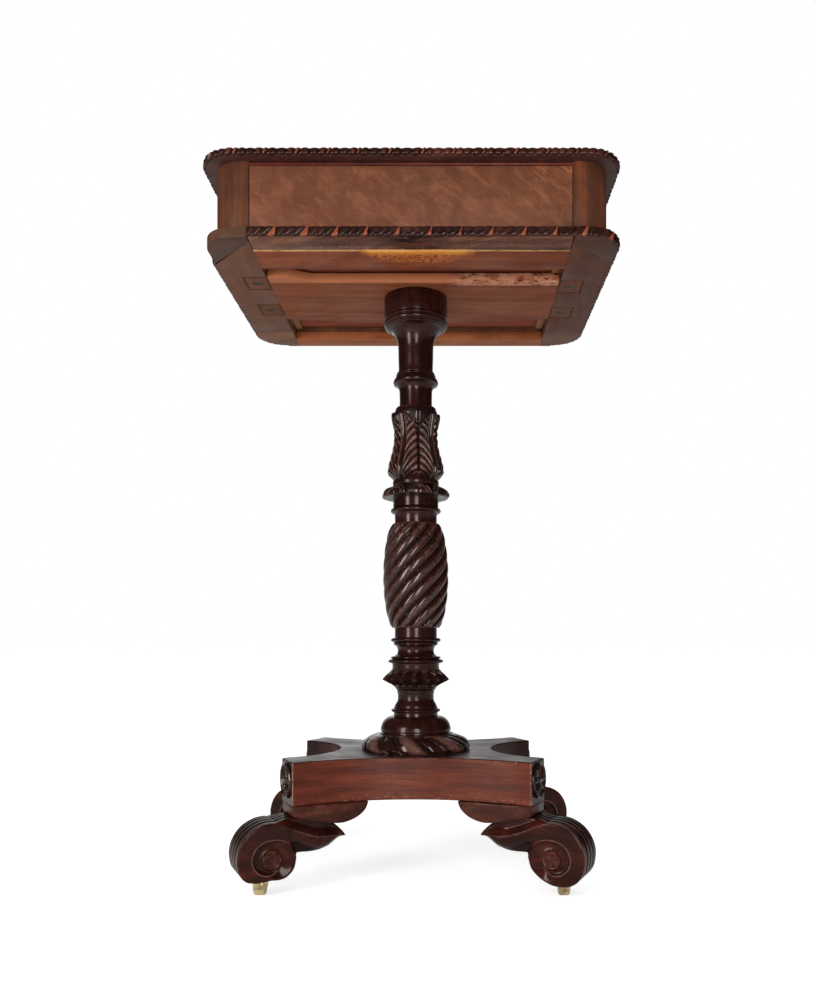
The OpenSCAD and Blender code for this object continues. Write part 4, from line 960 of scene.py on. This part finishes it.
# %% Rope edges
PLATE_W, PLATE_D, PLATE_R, ROPE_OUT = 419.0, 311.0, 36.0, 2.95
PERIOD, LEAN = 30.3, 0.135
TURN_X, TURN_Y = PLATE_W / 2 - PLATE_R, PLATE_D / 2 - PLATE_R
CORNER_LEN, SIDE_LEN, FRONT_LEN = math.pi / 2 * PLATE_R, 2 * TURN_Y, 2 * TURN_X
EDGE_LEN = 4 * CORNER_LEN + 2 * SIDE_LEN + FRONT_LEN
FRONT_START = 2 * CORNER_LEN + SIDE_LEN


def edge_at(s):
    """Turning centre and outward direction, in radians, at length s from the back right corner round the front."""
    stops = np.cumsum([0, CORNER_LEN, SIDE_LEN, CORNER_LEN, FRONT_LEN, CORNER_LEN, SIDE_LEN, CORNER_LEN])
    x = np.interp(s, stops, [TURN_X, TURN_X, TURN_X, TURN_X, -TURN_X, -TURN_X, -TURN_X, -TURN_X])
    y = np.interp(s, stops, [TURN_Y, TURN_Y, -TURN_Y, -TURN_Y, -TURN_Y, -TURN_Y, TURN_Y, TURN_Y])
    way = np.interp(s, stops, np.radians([90, 0, 0, -90, -90, -180, -180, -270]))
    return x, y, way


LOWER_STRANDS = ((0.235, 0.8, 0.0), (0.51, 0.9, 0.15), (0.80, 1.0, 0.0), (1.0, 1.0, 1.0))
TOP_STRANDS = ((0.28, 0.9, 0.05), (0.58, 1.0, 0.52), (0.72, 1.0, 0.78), (1.0, 1.0, 0.34))


def rope(name, start, end, z, thick, node, body="table", strands=LOWER_STRANDS, slant=LEAN, notch=0.14):
    """A strip along the plate's edge. Its strands lean, but the rubbed one stops at an upright cut."""
    steps = max(24, int((end - start) / 0.6))
    s = np.linspace(start, end, steps)[:, None]
    a = np.radians(np.linspace(-90, 90, 21))[None, :]
    wander = 0.03 * np.sin(s / 17.0) + 0.02 * np.sin(s / 5.3 + 1)
    place = ((FRONT_START - s) / PERIOD + wander) % 1
    lean = slant * np.sin(a) + 0 * s
    lump, rub, low = np.zeros_like(lean), np.zeros_like(lean), np.zeros_like(lean)
    for stop, swell, bare in strands:
        high = lean * (stop < 1) + stop
        within = np.clip((place - low) / np.maximum(high - low, 0.02), 0, 1)
        inside = (place >= low) & (place < high)
        lump = np.where(inside, swell * np.sqrt(np.clip(1 - np.abs(2 * within - 1) ** 2.4, 0, 1)), lump)
        rub = np.where(inside, bare, rub)
        low = high
    worn = 0.5 + 0.5 * np.sin(s / 61.0 + z)
    rub = rub * (0.90 + 0.10 * np.sin(s / 23.0 + 0.4 * z) * np.cos(s / 37.0))
    rub = rub * (0.78 + 0.22 * smooth((s - FRONT_START) / FRONT_LEN))
    out = np.maximum((ROPE_OUT - 2.3 * (1 - lump)) * np.sqrt(1 - np.abs(np.sin(a)) ** 5), 0)
    x, y, way = edge_at(s)
    r = PLATE_R - ROPE_OUT + out
    swollen = thick / 2 * (1 + np.sin(a) * (1 - notch * (1 - lump)))
    rows = np.stack([x + r * np.cos(way), y + r * np.sin(way), z + swollen + 0 * r], -1)
    points, faces = loft(rows)
    # The depth falls to 0 on the strip's top and bottom rows, where it meets the plate, so that crease is painted dark:
    # painted shade.
    depth = np.clip(lump * (0.60 + rub * (0.50 + 0.10 * worn)) * np.cos(a) ** 0.1, 0, 1)
    return piece(name, points, faces, rope_wood, "carved_mahogany", [node], body, with_ends(depth), 50)


OPEN_W, FRONT_JOINT = 159.5, 15.0
rope("rope_top", 0, EDGE_LEN, TOP_Z, 7, "top_rope", strands=TOP_STRANDS, slant=0.05, notch=0.5)
rope("rope_right", 0, FRONT_START + TURN_X - OPEN_W, LOWER_Z, 10, "lower_rope_right")
LEFT_START = EDGE_LEN - CORNER_LEN - SIDE_LEN + FRONT_JOINT + PLATE_W / 2 - OPEN_W - PLATE_R
rope("rope_left", LEFT_START, EDGE_LEN, LOWER_Z, 10, "lower_rope_left")
rope("rope_drawer", FRONT_START + TURN_X - OPEN_W + 0.5, FRONT_START + TURN_X + OPEN_W - 0.5, LOWER_Z, 10,
     "drawer_rope", body="drawer")

# %% [markdown]
# The platform's outline is four hollow arcs and four short canted faces. Its
# arrises are worn round and chipped, most of all along the front, so the outline
# is drawn in row by row near the top and the bottom edge, and a few notches are
# bitten out of the top edge.

# %% Platform
CORNER_X, CORNER_Y, SIDE_X, SIDE_Y = 120.4, 120.0, 138.4, 80.8
WAIST_Y, WAIST_X, FOOT_Z, THICK = 79.5, 86.7, 90.0, 44.5
CANT = math.atan2(SIDE_X - CORNER_X, CORNER_Y - SIDE_Y)


def hollow_arc(reach, corner, waist, n):
    """Points of the arc from (-reach, -corner) over (0, -waist) to (reach, -corner)."""
    rise = corner - waist
    radius = (reach ** 2 + rise ** 2) / (2 * rise)
    x = np.linspace(-reach, reach, n)
    return x, -(waist + radius - np.sqrt(radius ** 2 - x ** 2))


def platform_outline():
    """The whole outline, counter-clockwise from above, in points about 0.8 mm apart."""
    x, y = hollow_arc(CORNER_X, CORNER_Y, WAIST_Y, 300)
    front = np.stack([x, y], -1)
    u, v = hollow_arc(SIDE_Y, SIDE_X, WAIST_X, 200)
    right = np.stack([-v, u], -1)
    t = np.linspace(0, 1, 54)[1:-1, None]
    canted = np.array([CORNER_X, -CORNER_Y]) * (1 - t) + np.array([SIDE_X, -SIDE_Y]) * t
    half = np.concatenate([front, canted, right, (canted * [1, -1])[::-1]])
    return np.concatenate([half, -half])


def ripple(x, seed, waves=((0.11, 1.0), (0.27, 0.6), (0.61, 0.4), (1.3, 0.25))):
    """A smooth, repeatable unevenness: a sum of sine waves with seeded phases."""
    draw = np.random.default_rng(seed)
    return sum(size * np.sin(x * rate * (1 + 0.1 * draw.random()) + 6.28 * draw.random()) for rate, size in waves)


def platform():
    """Rows of the outline, drawn in by a quarter round at the lower edge and by wear and chips at the upper one."""
    outline = platform_outline()
    for _ in range(2):
        outline = (outline + (np.roll(outline, 1, 0) + np.roll(outline, -1, 0)) / 2) / 2
    along = np.concatenate([[0], np.cumsum(np.linalg.norm(np.diff(outline, axis=0), axis=1))])
    way = np.roll(outline, -1, 0) - np.roll(outline, 1, 0)
    normal = np.stack([way[:, 1], -way[:, 0]], -1) / np.linalg.norm(way, axis=1)[:, None]
    chips = np.clip(ripple(along, 5) - 1.05, 0, 1.2)
    wear = 1.0 + 0.25 * ripple(along, 9)
    rows = []
    for inset in (120, 90, 60, 30, 12, 5):
        rows.append((outline * (1 - inset / 130), FOOT_Z, 0.5))
    for a in np.radians([0, 22, 45, 68, 90]):
        rows.append((outline - normal * (1.1 * (1 - np.sin(a))),
                     FOOT_Z + 1.1 * (1 - np.cos(a)), 0.55 + 0.4 * math.sin(2 * a)))
    for level in np.linspace(3, THICK - 3.5, 14):
        rows.append((outline, FOOT_Z + level, 0.6))
    for a in np.radians([0, 15, 30, 45, 60, 75, 90]):
        depth_in = (wear + 1.6 * chips)[:, None]
        rows.append((outline - normal * depth_in * (1 - np.cos(a)) * 1.2,
                     FOOT_Z + THICK - 1.2 * depth_in[:, 0] * (1 - np.sin(a)), 0.6 + 0.4 * math.sin(2 * a)))
    for inset in (5, 12, 30, 60, 90, 120):
        rows.append((outline * (1 - inset / 130), FOOT_Z + THICK, 0.6))
    table = np.stack([np.concatenate([xy, np.broadcast_to(z, (len(xy),))[:, None]], 1) for xy, z, _ in rows])
    mask = np.repeat(np.array([m for _, _, m in rows])[:, None], len(outline), 1)
    points, faces = loft(table)
    return piece("platform_board", points, faces, platform_wood, "carved_mahogany", ["platform"], depth=with_ends(mask))


platform()


# %% [markdown]
# On each canted face sits a carved roundel: a rim, eight pointed petals and a
# boss in the middle. It is a relief on a disc, drawn from rings of points, and
# then turned to stand on its face.

# %% Roundels
CORNERS = {"front_right": (1, -1), "front_left": (-1, -1), "back_right": (1, 1), "back_left": (-1, 1)}


def to_corner(points, where):
    """Takes points drawn outwards along X from a canted face to that face."""
    s, e = CORNERS[where]
    turn = e * CANT if s > 0 else math.pi - e * CANT
    x = (CORNER_X + SIDE_X) / 2 * s
    y = (CORNER_Y + SIDE_Y) / 2 * e
    out = points.copy()
    out[..., 0] = x + points[..., 0] * math.cos(turn) - points[..., 1] * math.sin(turn)
    out[..., 1] = y + points[..., 0] * math.sin(turn) + points[..., 1] * math.cos(turn)
    return out


ROUNDEL_R, ROUNDEL_Z = 18.8, 114.25


def roundel(where):
    """Relief over rings of radius r: petals narrow with the angle, two rims are bumps over r, the boss is a dome."""
    r = np.linspace(ROUNDEL_R, 0.2, 62)[:, None]
    a = (np.arange(256) * 360 / 256)[None, :]
    turn = np.abs((a / 45 + 0.5) % 1 - 0.5) * 2
    span_in = np.clip((r - 4.2) / 11.2, 0, 1)
    half = np.sin(np.pi * span_in ** 0.8) ** 0.8 * 0.95
    petal = np.clip(1 - turn / np.maximum(half, 0.02), 0, 1) ** 0.7
    relief = 1.0 + 2.4 * petal * (span_in > 0) * (span_in < 1)
    relief = relief + 2.2 * np.exp(-((r - 17.2) / 1.3) ** 2) + 1.2 * np.exp(-((r - 14.9) / 0.6) ** 2)
    relief = np.where(r < 4.4, 1.4 + 2.4 * np.sqrt(np.clip(1 - (r / 4.4) ** 2, 0, 1)), relief)
    relief = np.minimum(relief, 3.95)
    face = np.stack([relief + 0 * a, r * np.cos(np.radians(a)), r * np.sin(np.radians(a)) + ROUNDEL_Z], -1)
    back = face[:1].copy()
    back[..., 0] = -0.2
    points, faces = loft(np.concatenate([back, face]))
    depth = np.concatenate([[np.zeros(256)], (relief - 0.8) / 3.0 + 0 * a])
    return piece("roundel_carved_" + where, to_corner(points, where), faces, carved_wood, "carved_mahogany",
                 ["roundel_" + where], depth=with_ends(depth))


for where in CORNERS:
    roundel(where)

# %% [markdown]
# A foot is a scroll with a leaf growing inwards from it, under a pad that holds
# it to the platform. Seen from the side it is one closed outline. Straight lines
# run from the outline to a spine inside it, so that every point of the side has
# two parameters: how far round the outline, and how far in. The relief is then a
# function of where the point is: the volute's spiral step, the hollow, the eye,
# and the leaf's crest.

# %% Feet
EYE = np.array([20.5, 38.0])
LEAF_TIP = (-59.5, 53.8)
HALF = 21.5


def spaced(points, n, closed=False):
    """n points at even distances along a line of points."""
    points = np.asarray(points, float)
    if closed:
        points = np.concatenate([points, points[:1]])
    along = np.concatenate([[0], np.cumsum(np.linalg.norm(np.diff(points, axis=0), axis=1))])
    at = np.linspace(0, along[-1], n, endpoint=not closed)
    return np.stack([np.interp(at, along, points[:, i]) for i in range(2)], -1)


def rounded(points, steps=12):
    """A smooth curve through points: each stretch is a cubic that leaves a point in the direction of its neighbours."""
    p = np.asarray(points, float)
    before = np.concatenate([[2 * p[0] - p[1]], p[:-1]])
    after = np.concatenate([p[1:], [2 * p[-1] - p[-2]]])
    slope = (after - before) / 2
    t = np.linspace(0, 1, steps, endpoint=False)[:, None, None]
    a, b, ma, mb = p[:-1], p[1:], slope[:-1], slope[1:]
    curve = ((2 * t ** 3 - 3 * t ** 2 + 1) * a + (t ** 3 - 2 * t ** 2 + t) * ma
             + (-2 * t ** 3 + 3 * t ** 2) * b + (t ** 3 - t ** 2) * mb)
    return np.concatenate([curve.transpose(1, 0, 2).reshape(-1, 2), p[-1:]])


# The scroll's reach from its eye, in millimetres, at angles in degrees
REACH_AT = [172, 180, 205, 230, 250, 272, 290, 304, 312, 323, 336, 349, 370, 391, 412, 433, 449, 457]
REACH_OUTER = [34.7, 35.4, 36.0, 36.7, 37.1, 37.3, 37.3]
REACH_LEFT = [25.4, 25.6, 25.2, 24.0, 22.2, 20.6, 22.6, 26.0, 28.4, 32.0, 34.0] + REACH_OUTER
REACH_RIGHT = [25.0, 25.0, 23.8, 22.8, 23.2, 25.0, 27.4, 30.2, 31.6, 33.2, 34.2] + REACH_OUTER


def scroll_outline(where):
    """The outline in three stretches, and the spine of the last two. The left front foot is cut higher."""
    angle = np.radians(REACH_AT)
    reach = np.array(REACH_LEFT if where == "front_left" else REACH_RIGHT)
    scroll = EYE + np.stack([reach * np.cos(angle), reach * np.sin(angle)], -1)
    top = rounded([scroll[-1], (8, 77.2), (-2, 78.6), (-18, 77.5), (-34, 74.0), (-46, 68.0), (-55, 60.0), LEAF_TIP])
    bottom = rounded([LEAF_TIP, (-52.5, 52.4), (-46, 48.8), (-39.5, 44.4), (-32, 41.2), (-21.5, 40.0),
                      (-11, 40.6), (-6.6, 41.2), scroll[0]])
    spine = rounded([EYE, (10, 55), (-4, 60), (-22, 60.5), (-46, 59.0)])
    return rounded(scroll), top, bottom, spine


def foot(where):
    """Side: its half width less hollow, step and leaf, at points between outline and spine. Tread: four reeds."""
    scroll, top, bottom, spine = scroll_outline(where)
    ring = np.concatenate([spaced(scroll, 190), spaced(top, 72)[1:], spaced(bottom, 72)[1:-1]])
    mid = spaced(spine, 72)
    core = np.concatenate([np.repeat(EYE[None], 190, 0), mid[1:], mid[::-1][1:-1]])
    tread = np.concatenate([smooth((np.arange(190) - 88) / 10), 1 - smooth((np.arange(1, 72) - 24) / 14),
                            np.zeros(70)])
    t = np.linspace(0, 1, 60) ** 0.9
    flat = core[None] + (ring - core)[None] * t[:, None, None]
    x, y = flat[..., 0], flat[..., 1]
    edge = np.linalg.norm(ring - core, axis=1)[None] * (1 - t[:, None])
    # The volute: a spiral step, a hollow inside it and a raised eye
    dx, dy = x - EYE[0], y - EYE[1]
    rho = np.hypot(dx, dy)
    phi = np.degrees(np.arctan2(dy, dx))
    spiral = np.interp(phi, [-180, -135, -90, -45, 0, 45, 90, 135, 160, 180],
                       [9.4, 11.4, 14.0, 17.2, 19.6, 19.6, 19.0, 21.0, 23.4, 27])
    inner = 2.4 + 0.9 * smooth((180 - np.abs(phi)) / 150)
    dish = 4.6 * smooth((-phi - 62) / 60) * np.clip((26.5 - rho) / 14, 0, 1)
    dished = smooth((phi + 180) / 40)
    outer = (dish * dished + 2.4 * smooth((-phi - 75) / 95) * (1 - dished)) * (phi < 0)
    inside = smooth((spiral - rho) / 0.7)
    bowl = np.sin(np.pi * np.clip((rho - 9.8) / np.maximum(spiral - 9.8, 0.5), 0, 1))
    hollow = inner + 0.9 * bowl * smooth((160 - np.abs(phi)) / 60)
    sunk = outer * (1 - inside) + hollow * inside
    fillet = 1.0 * np.exp(-((rho - spiral - 0.8) / 0.7) ** 2) * (rho > 9) * smooth((150 - np.abs(phi)) / 40)
    eye = smooth((9.7 - rho) / 0.8)
    button = 0.9 - 0.6 * np.exp(-((rho - 8.6) / 0.7) ** 2) - 0.3 * np.clip(1 - (rho / 8) ** 2, 0, 1)
    sunk = sunk * (1 - eye) + eye * button
    volute = smooth((x + 9 + 0.5 * (38 - y)) / 4) * smooth((30 - rho) / 2)
    # The leaf: a crest line, a hollow above it, a belly below, thin at the tip
    crest = np.interp(x, [-60, -50, -40, -25.7, -12.5, 7.8, 18, 30], [54, 55.5, 56.5, 57.5, 62.0, 70.4, 74.0, 78])
    leaf = smooth((6 - x) / 12)
    above = np.clip(y - crest, 0, 30)
    below = np.clip(crest - y, 0, 14)
    crest_fade = smooth((22 - x) / 10) * smooth((x + 54) / 16)
    carve = crest_fade * (4.2 * smooth(above / 9) - 0.5 * np.exp(-((y - crest) / 1.2) ** 2))
    carve = carve + leaf * (0.045 * below ** 2 * smooth((x + 50) / 20))
    tip = 7.5 * smooth((-30 - x) / 24)
    rim = 1.4 * np.exp(-(edge / 1.1) ** 2)
    offset = sunk * volute - fillet * volute + carve * (1 - volute) + tip + rim * 0.8
    offset = offset + 4.5 * leaf * np.exp(-(edge / 3.2) ** 2) * (y < crest) * (1 - volute)
    side = HALF - np.maximum(offset, 0)
    # Across the tread: four reeds with grooves between them
    w = np.linspace(-1, 1, 33)[1:-1, None]
    groove = 0.9 * sum(np.exp(-((w - g) / 0.055) ** 2) for g in (-0.5, 0.0, 0.5)) + 0.25 * w ** 2
    inward = (core - ring) / np.linalg.norm(core - ring, axis=1)[:, None]
    push = 1.9 * groove * tread[None] - 0.6 * (1 - tread[None]) * leaf[-1][None] * (1 - w ** 2)
    band = ring[None] + inward[None] * push[..., None]
    near = np.stack([x, -side, y], -1)
    far = np.stack([x, side, y], -1)[::-1]
    across = np.stack([band[..., 0], w * side[-1][None], band[..., 1]], -1)
    rows = np.concatenate([near, across, far])
    count, around, _ = rows.shape
    index = np.arange(count * around).reshape(count, around)
    ahead = np.roll(index, -1, axis=1)
    faces = np.stack([index[:-1], ahead[:-1], ahead[1:], index[1:]], -1).reshape(-1, 4)
    # Painted shade and highlight, with wear: the colour is darker where the volute and the leaf are sunk (painted
    # shade), paler on the spiral fillet, on the ring round the eye and on the dish's lower inner slope (painted
    # highlight), and paler at the outline's edge and on the leaf's crest (wear). The eye is a little paler.
    side_wear_and_shade = 0.74 - 0.10 * sunk * volute + 0.34 * fillet * volute - 0.07 * carve * (1 - volute)
    side_wear_and_shade = np.clip(side_wear_and_shade + 0.22 * np.exp(-(edge / 0.8) ** 2) + 0.10 * np.exp(-((y - crest) / 1.5) ** 2) * leaf, 0, 1)
    eye_ring_highlight = np.exp(-((rho - 9.5) / 0.6) ** 2)
    side_wear_and_shade = np.clip(side_wear_and_shade + (0.24 * eye_ring_highlight + 0.15 * eye + 0.10 * outer * (rho > 10) * (1 - inside)) * volute, 0, 1)
    # The tread is darker than the side, and its grooves darker still: painted shade.
    reed_shade = np.clip(0.34 - 0.3 * groove * tread[None] + 0.3 * (1 - tread[None]), 0, 1)
    depth = np.concatenate([side_wear_and_shade, reed_shade, side_wear_and_shade[::-1]])
    return piece("foot_scroll_" + where, to_corner(rows.reshape(-1, 3), where), faces.tolist(), foot_wood,
                 "carved_mahogany", ["foot_" + where], depth=depth.reshape(-1), sharp=50, weld=True)


def foot_pad(where):
    """The pad under the platform: its outline is carried across the foot, drawn in at both sides."""
    under = rounded([(-81.5, 89.4), (-78, 81.5), (-70, 74.8), (-60, 70.8), (-50, 69.4), (-35, 71.0), (-18.6, 74.6),
                     (-0.8, 79.5)])
    outline = np.concatenate([under, [(-0.4, 84), (-0.4, 90)]])
    ring = spaced(outline, 120, closed=True)
    middle = np.array([-38.0, 81.0])
    rows = []
    for share in (0.05, 0.4, 0.75):
        rows.append((middle + (ring - middle) * share, -HALF))
    for a in np.radians([0, 30, 60, 90]):
        inset = 1.2 * (1 - math.sin(a))
        way = (ring - middle) / np.linalg.norm(ring - middle, axis=1)[:, None]
        rows.append((ring - way * inset, -HALF + 1.2 * (1 - math.cos(a))))
    rows = rows + [(xy, -w) for xy, w in rows[::-1]]
    table = np.stack([np.stack([xy[:, 0], np.full(len(xy), w), xy[:, 1]], -1) for xy, w in rows])
    points, faces = loft(table)
    return piece("foot_pad_" + where, to_corner(points, where), faces, pad_wood, "carved_mahogany")


POCKET_OUT, POCKET_R, POCKET_H = 27.0, 16.5, 29.0


def cut_pocket(thing, where):
    """Takes the castor's round pocket out of a foot: the foot without an upright drum on the swivel's axis."""
    angle = (np.arange(72) * 5)[None, :]
    drum = round_surface(np.full((2, 1), POCKET_R), np.array([[-6.0], [POCKET_H]]), angle) + [POCKET_OUT, 0, 0]
    points, faces = loft(to_corner(drum, where))
    if volume(points, faces) < 0:
        faces = [f[::-1] for f in faces]
    mesh = bpy.data.meshes.new("pocket_drum")
    mesh.from_pydata((points * MM).tolist(), [], faces)
    tool = bpy.data.objects.new("pocket_drum", mesh)
    scene.collection.objects.link(tool)
    cut = thing.modifiers.new("pocket", "BOOLEAN")
    cut.object, cut.operation, cut.solver = tool, "DIFFERENCE", "EXACT"
    carved = bpy.data.meshes.new_from_object(thing.evaluated_get(bpy.context.evaluated_depsgraph_get()))
    thing.modifiers.clear()
    thing.data = carved
    bpy.data.objects.remove(tool)
    print(thing.name, "with its pocket:", len(carved.polygons), "faces")


for where in CORNERS:
    cut_pocket(foot(where), where)
    foot_pad(where)


# %% [markdown]
# The flat boards are right as they are in CAD, apart from their knife-sharp
# edges. Real edges are worn, and the dark line of a joint is two worn edges
# meeting. So each board is copied, its loose triangles are merged into whole
# faces, and its edges get a narrow bevel.

# %% Boards with worn edges
def worn_board(node, material, width=0.45, body="table", upper=None, dirt=None, rubbed=0):
    """A copy of a CAD board with bevelled edges. Its top face and its bevels may have finishes of their own.

    Where it is rubbed, its rounded outer edge is drawn in: the part beyond the corner's centre is scaled by the
    share of its length that is left.
    """
    shell = bmesh.new()
    shell.from_mesh(nodes[node].data)
    bmesh.ops.remove_doubles(shell, verts=shell.verts, dist=0.002 * MM)
    bmesh.ops.dissolve_limit(shell, angle_limit=math.radians(0.6), verts=shell.verts, edges=shell.edges)
    edges = [e for e in shell.edges if len(e.link_faces) == 2 and e.calc_face_angle(0) > math.radians(25)
             and e.calc_length() > 1.3 * MM]
    cut = bmesh.ops.bevel(shell, geom=edges, offset=width * MM, segments=2, profile=0.6, affect="EDGES",
                          clamp_overlap=True)
    for face in cut["faces"]:
        face.material_index = 1 if dirt else 0
    if rubbed:
        for vertex in shell.verts:
            past = np.maximum(np.abs(vertex.co.to_tuple()[:2]) - np.array([TURN_X, TURN_Y]) * MM, 0)
            reach = np.hypot(*past)
            if reach > (PLATE_R - 0.8) * MM:
                back = past * (1 - (reach - rubbed * MM) / reach)
                vertex.co.x -= math.copysign(back[0], vertex.co.x)
                vertex.co.y -= math.copysign(back[1], vertex.co.y)
    mesh = bpy.data.meshes.new(node + "_worn")
    shell.to_mesh(mesh)
    shell.free()
    mesh.shade_smooth()
    mesh.set_sharp_from_angle(angle=math.radians(30))
    mesh.materials.clear()
    mesh.materials.append(material)
    if dirt:
        mesh.materials.append(dirt)
    if upper:
        mesh.materials.append(upper)
        heights = np.array([p.center.z for p in mesh.polygons])
        mesh.polygons.foreach_set("material_index", (heights > heights.max() - 0.6 * MM).astype(np.int32))
    thing = bpy.data.objects.new(node + "_worn", mesh)
    scene.collection.objects.link(thing)
    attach(thing, body)
    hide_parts(node)
    return thing


BOARDS = {
    "top_rail": (bead_wood, "figured_mahogany", 0.2),
    "side_panel_left": (frieze_wood, "figured_mahogany", 0.4),
    "side_panel_right": (frieze_wood, "figured_mahogany", 0.4),
    "back_panel": (frieze_wood, "figured_mahogany", 0.4), "front_rail": (rail_wood, "rail_mahogany", 0.5),
    "rear_rail": (rear_rail_wood, "rail_mahogany", 0.6), "side_rail_left": (side_rail_wood, "rail_mahogany", 0.4),
    "side_rail_right": (side_rail_wood, "rail_mahogany", 0.4), "bearer_board": (bearer_wood, "rail_mahogany", 0.7)}
for where in ("front_left", "front_right", "back_left", "back_right"):
    BOARDS["stile_" + where] = (stile_wood, "figured_mahogany", 0.4)
    corner_wood = front_corner_wood if "front" in where else back_corner_wood
    BOARDS["corner_" + where] = (corner_wood, "rail_mahogany", 0.4)
joint_wood = wood_finish("joint_shadow", rgb(24, 12, 9), rgb(40, 22, 16), rgb(70, 42, 30), "X", 0.8, 0.4, 0.3,
                         shiny=0.6, dull=0.8, specular=0.1)
JOINTED = ("side_rail", "corner", "bearer", "stile")
for node, (material, slot, width) in BOARDS.items():
    worn_board(node, material, width, dirt=joint_wood if node.startswith(JOINTED) else None,
               rubbed=4.0 if node == "corner_front_left" else 0)
worn_board("top_board", top_wood, 0.3, upper=top_face_wood)
worn_board("drawer_front", frieze_wood, 0.4, "drawer")
worn_board("drawer_strip", strip_wood, 0.6, "drawer")
for node in ("drawer_side_left", "drawer_side_right", "drawer_back"):
    worn_board(node, lining_wood, 0.4, "drawer")
worn_board("drawer_bottom", bottom_wood, 0.4, "drawer")
print("boards with worn edges:", len(BOARDS) + 7)

# %% [markdown]
# What is left of the CAD model is shown as it is, with its own finish: the
# guides, kickers, dowels and wedge in plain wood, the screws in iron, the
# castors in brass.

# %% Finishes for the CAD parts
for node, thing in nodes.items():
    if thing.hide_render:
        continue
    finish = lining_wood
    if node.startswith("castor"):
        finish = brass
    elif node == "bearer_screws":
        finish = iron
    thing.data.materials.clear()
    thing.data.materials.append(finish)
print("shown CAD parts:", [n for n, o in nodes.items() if not o.hide_render])
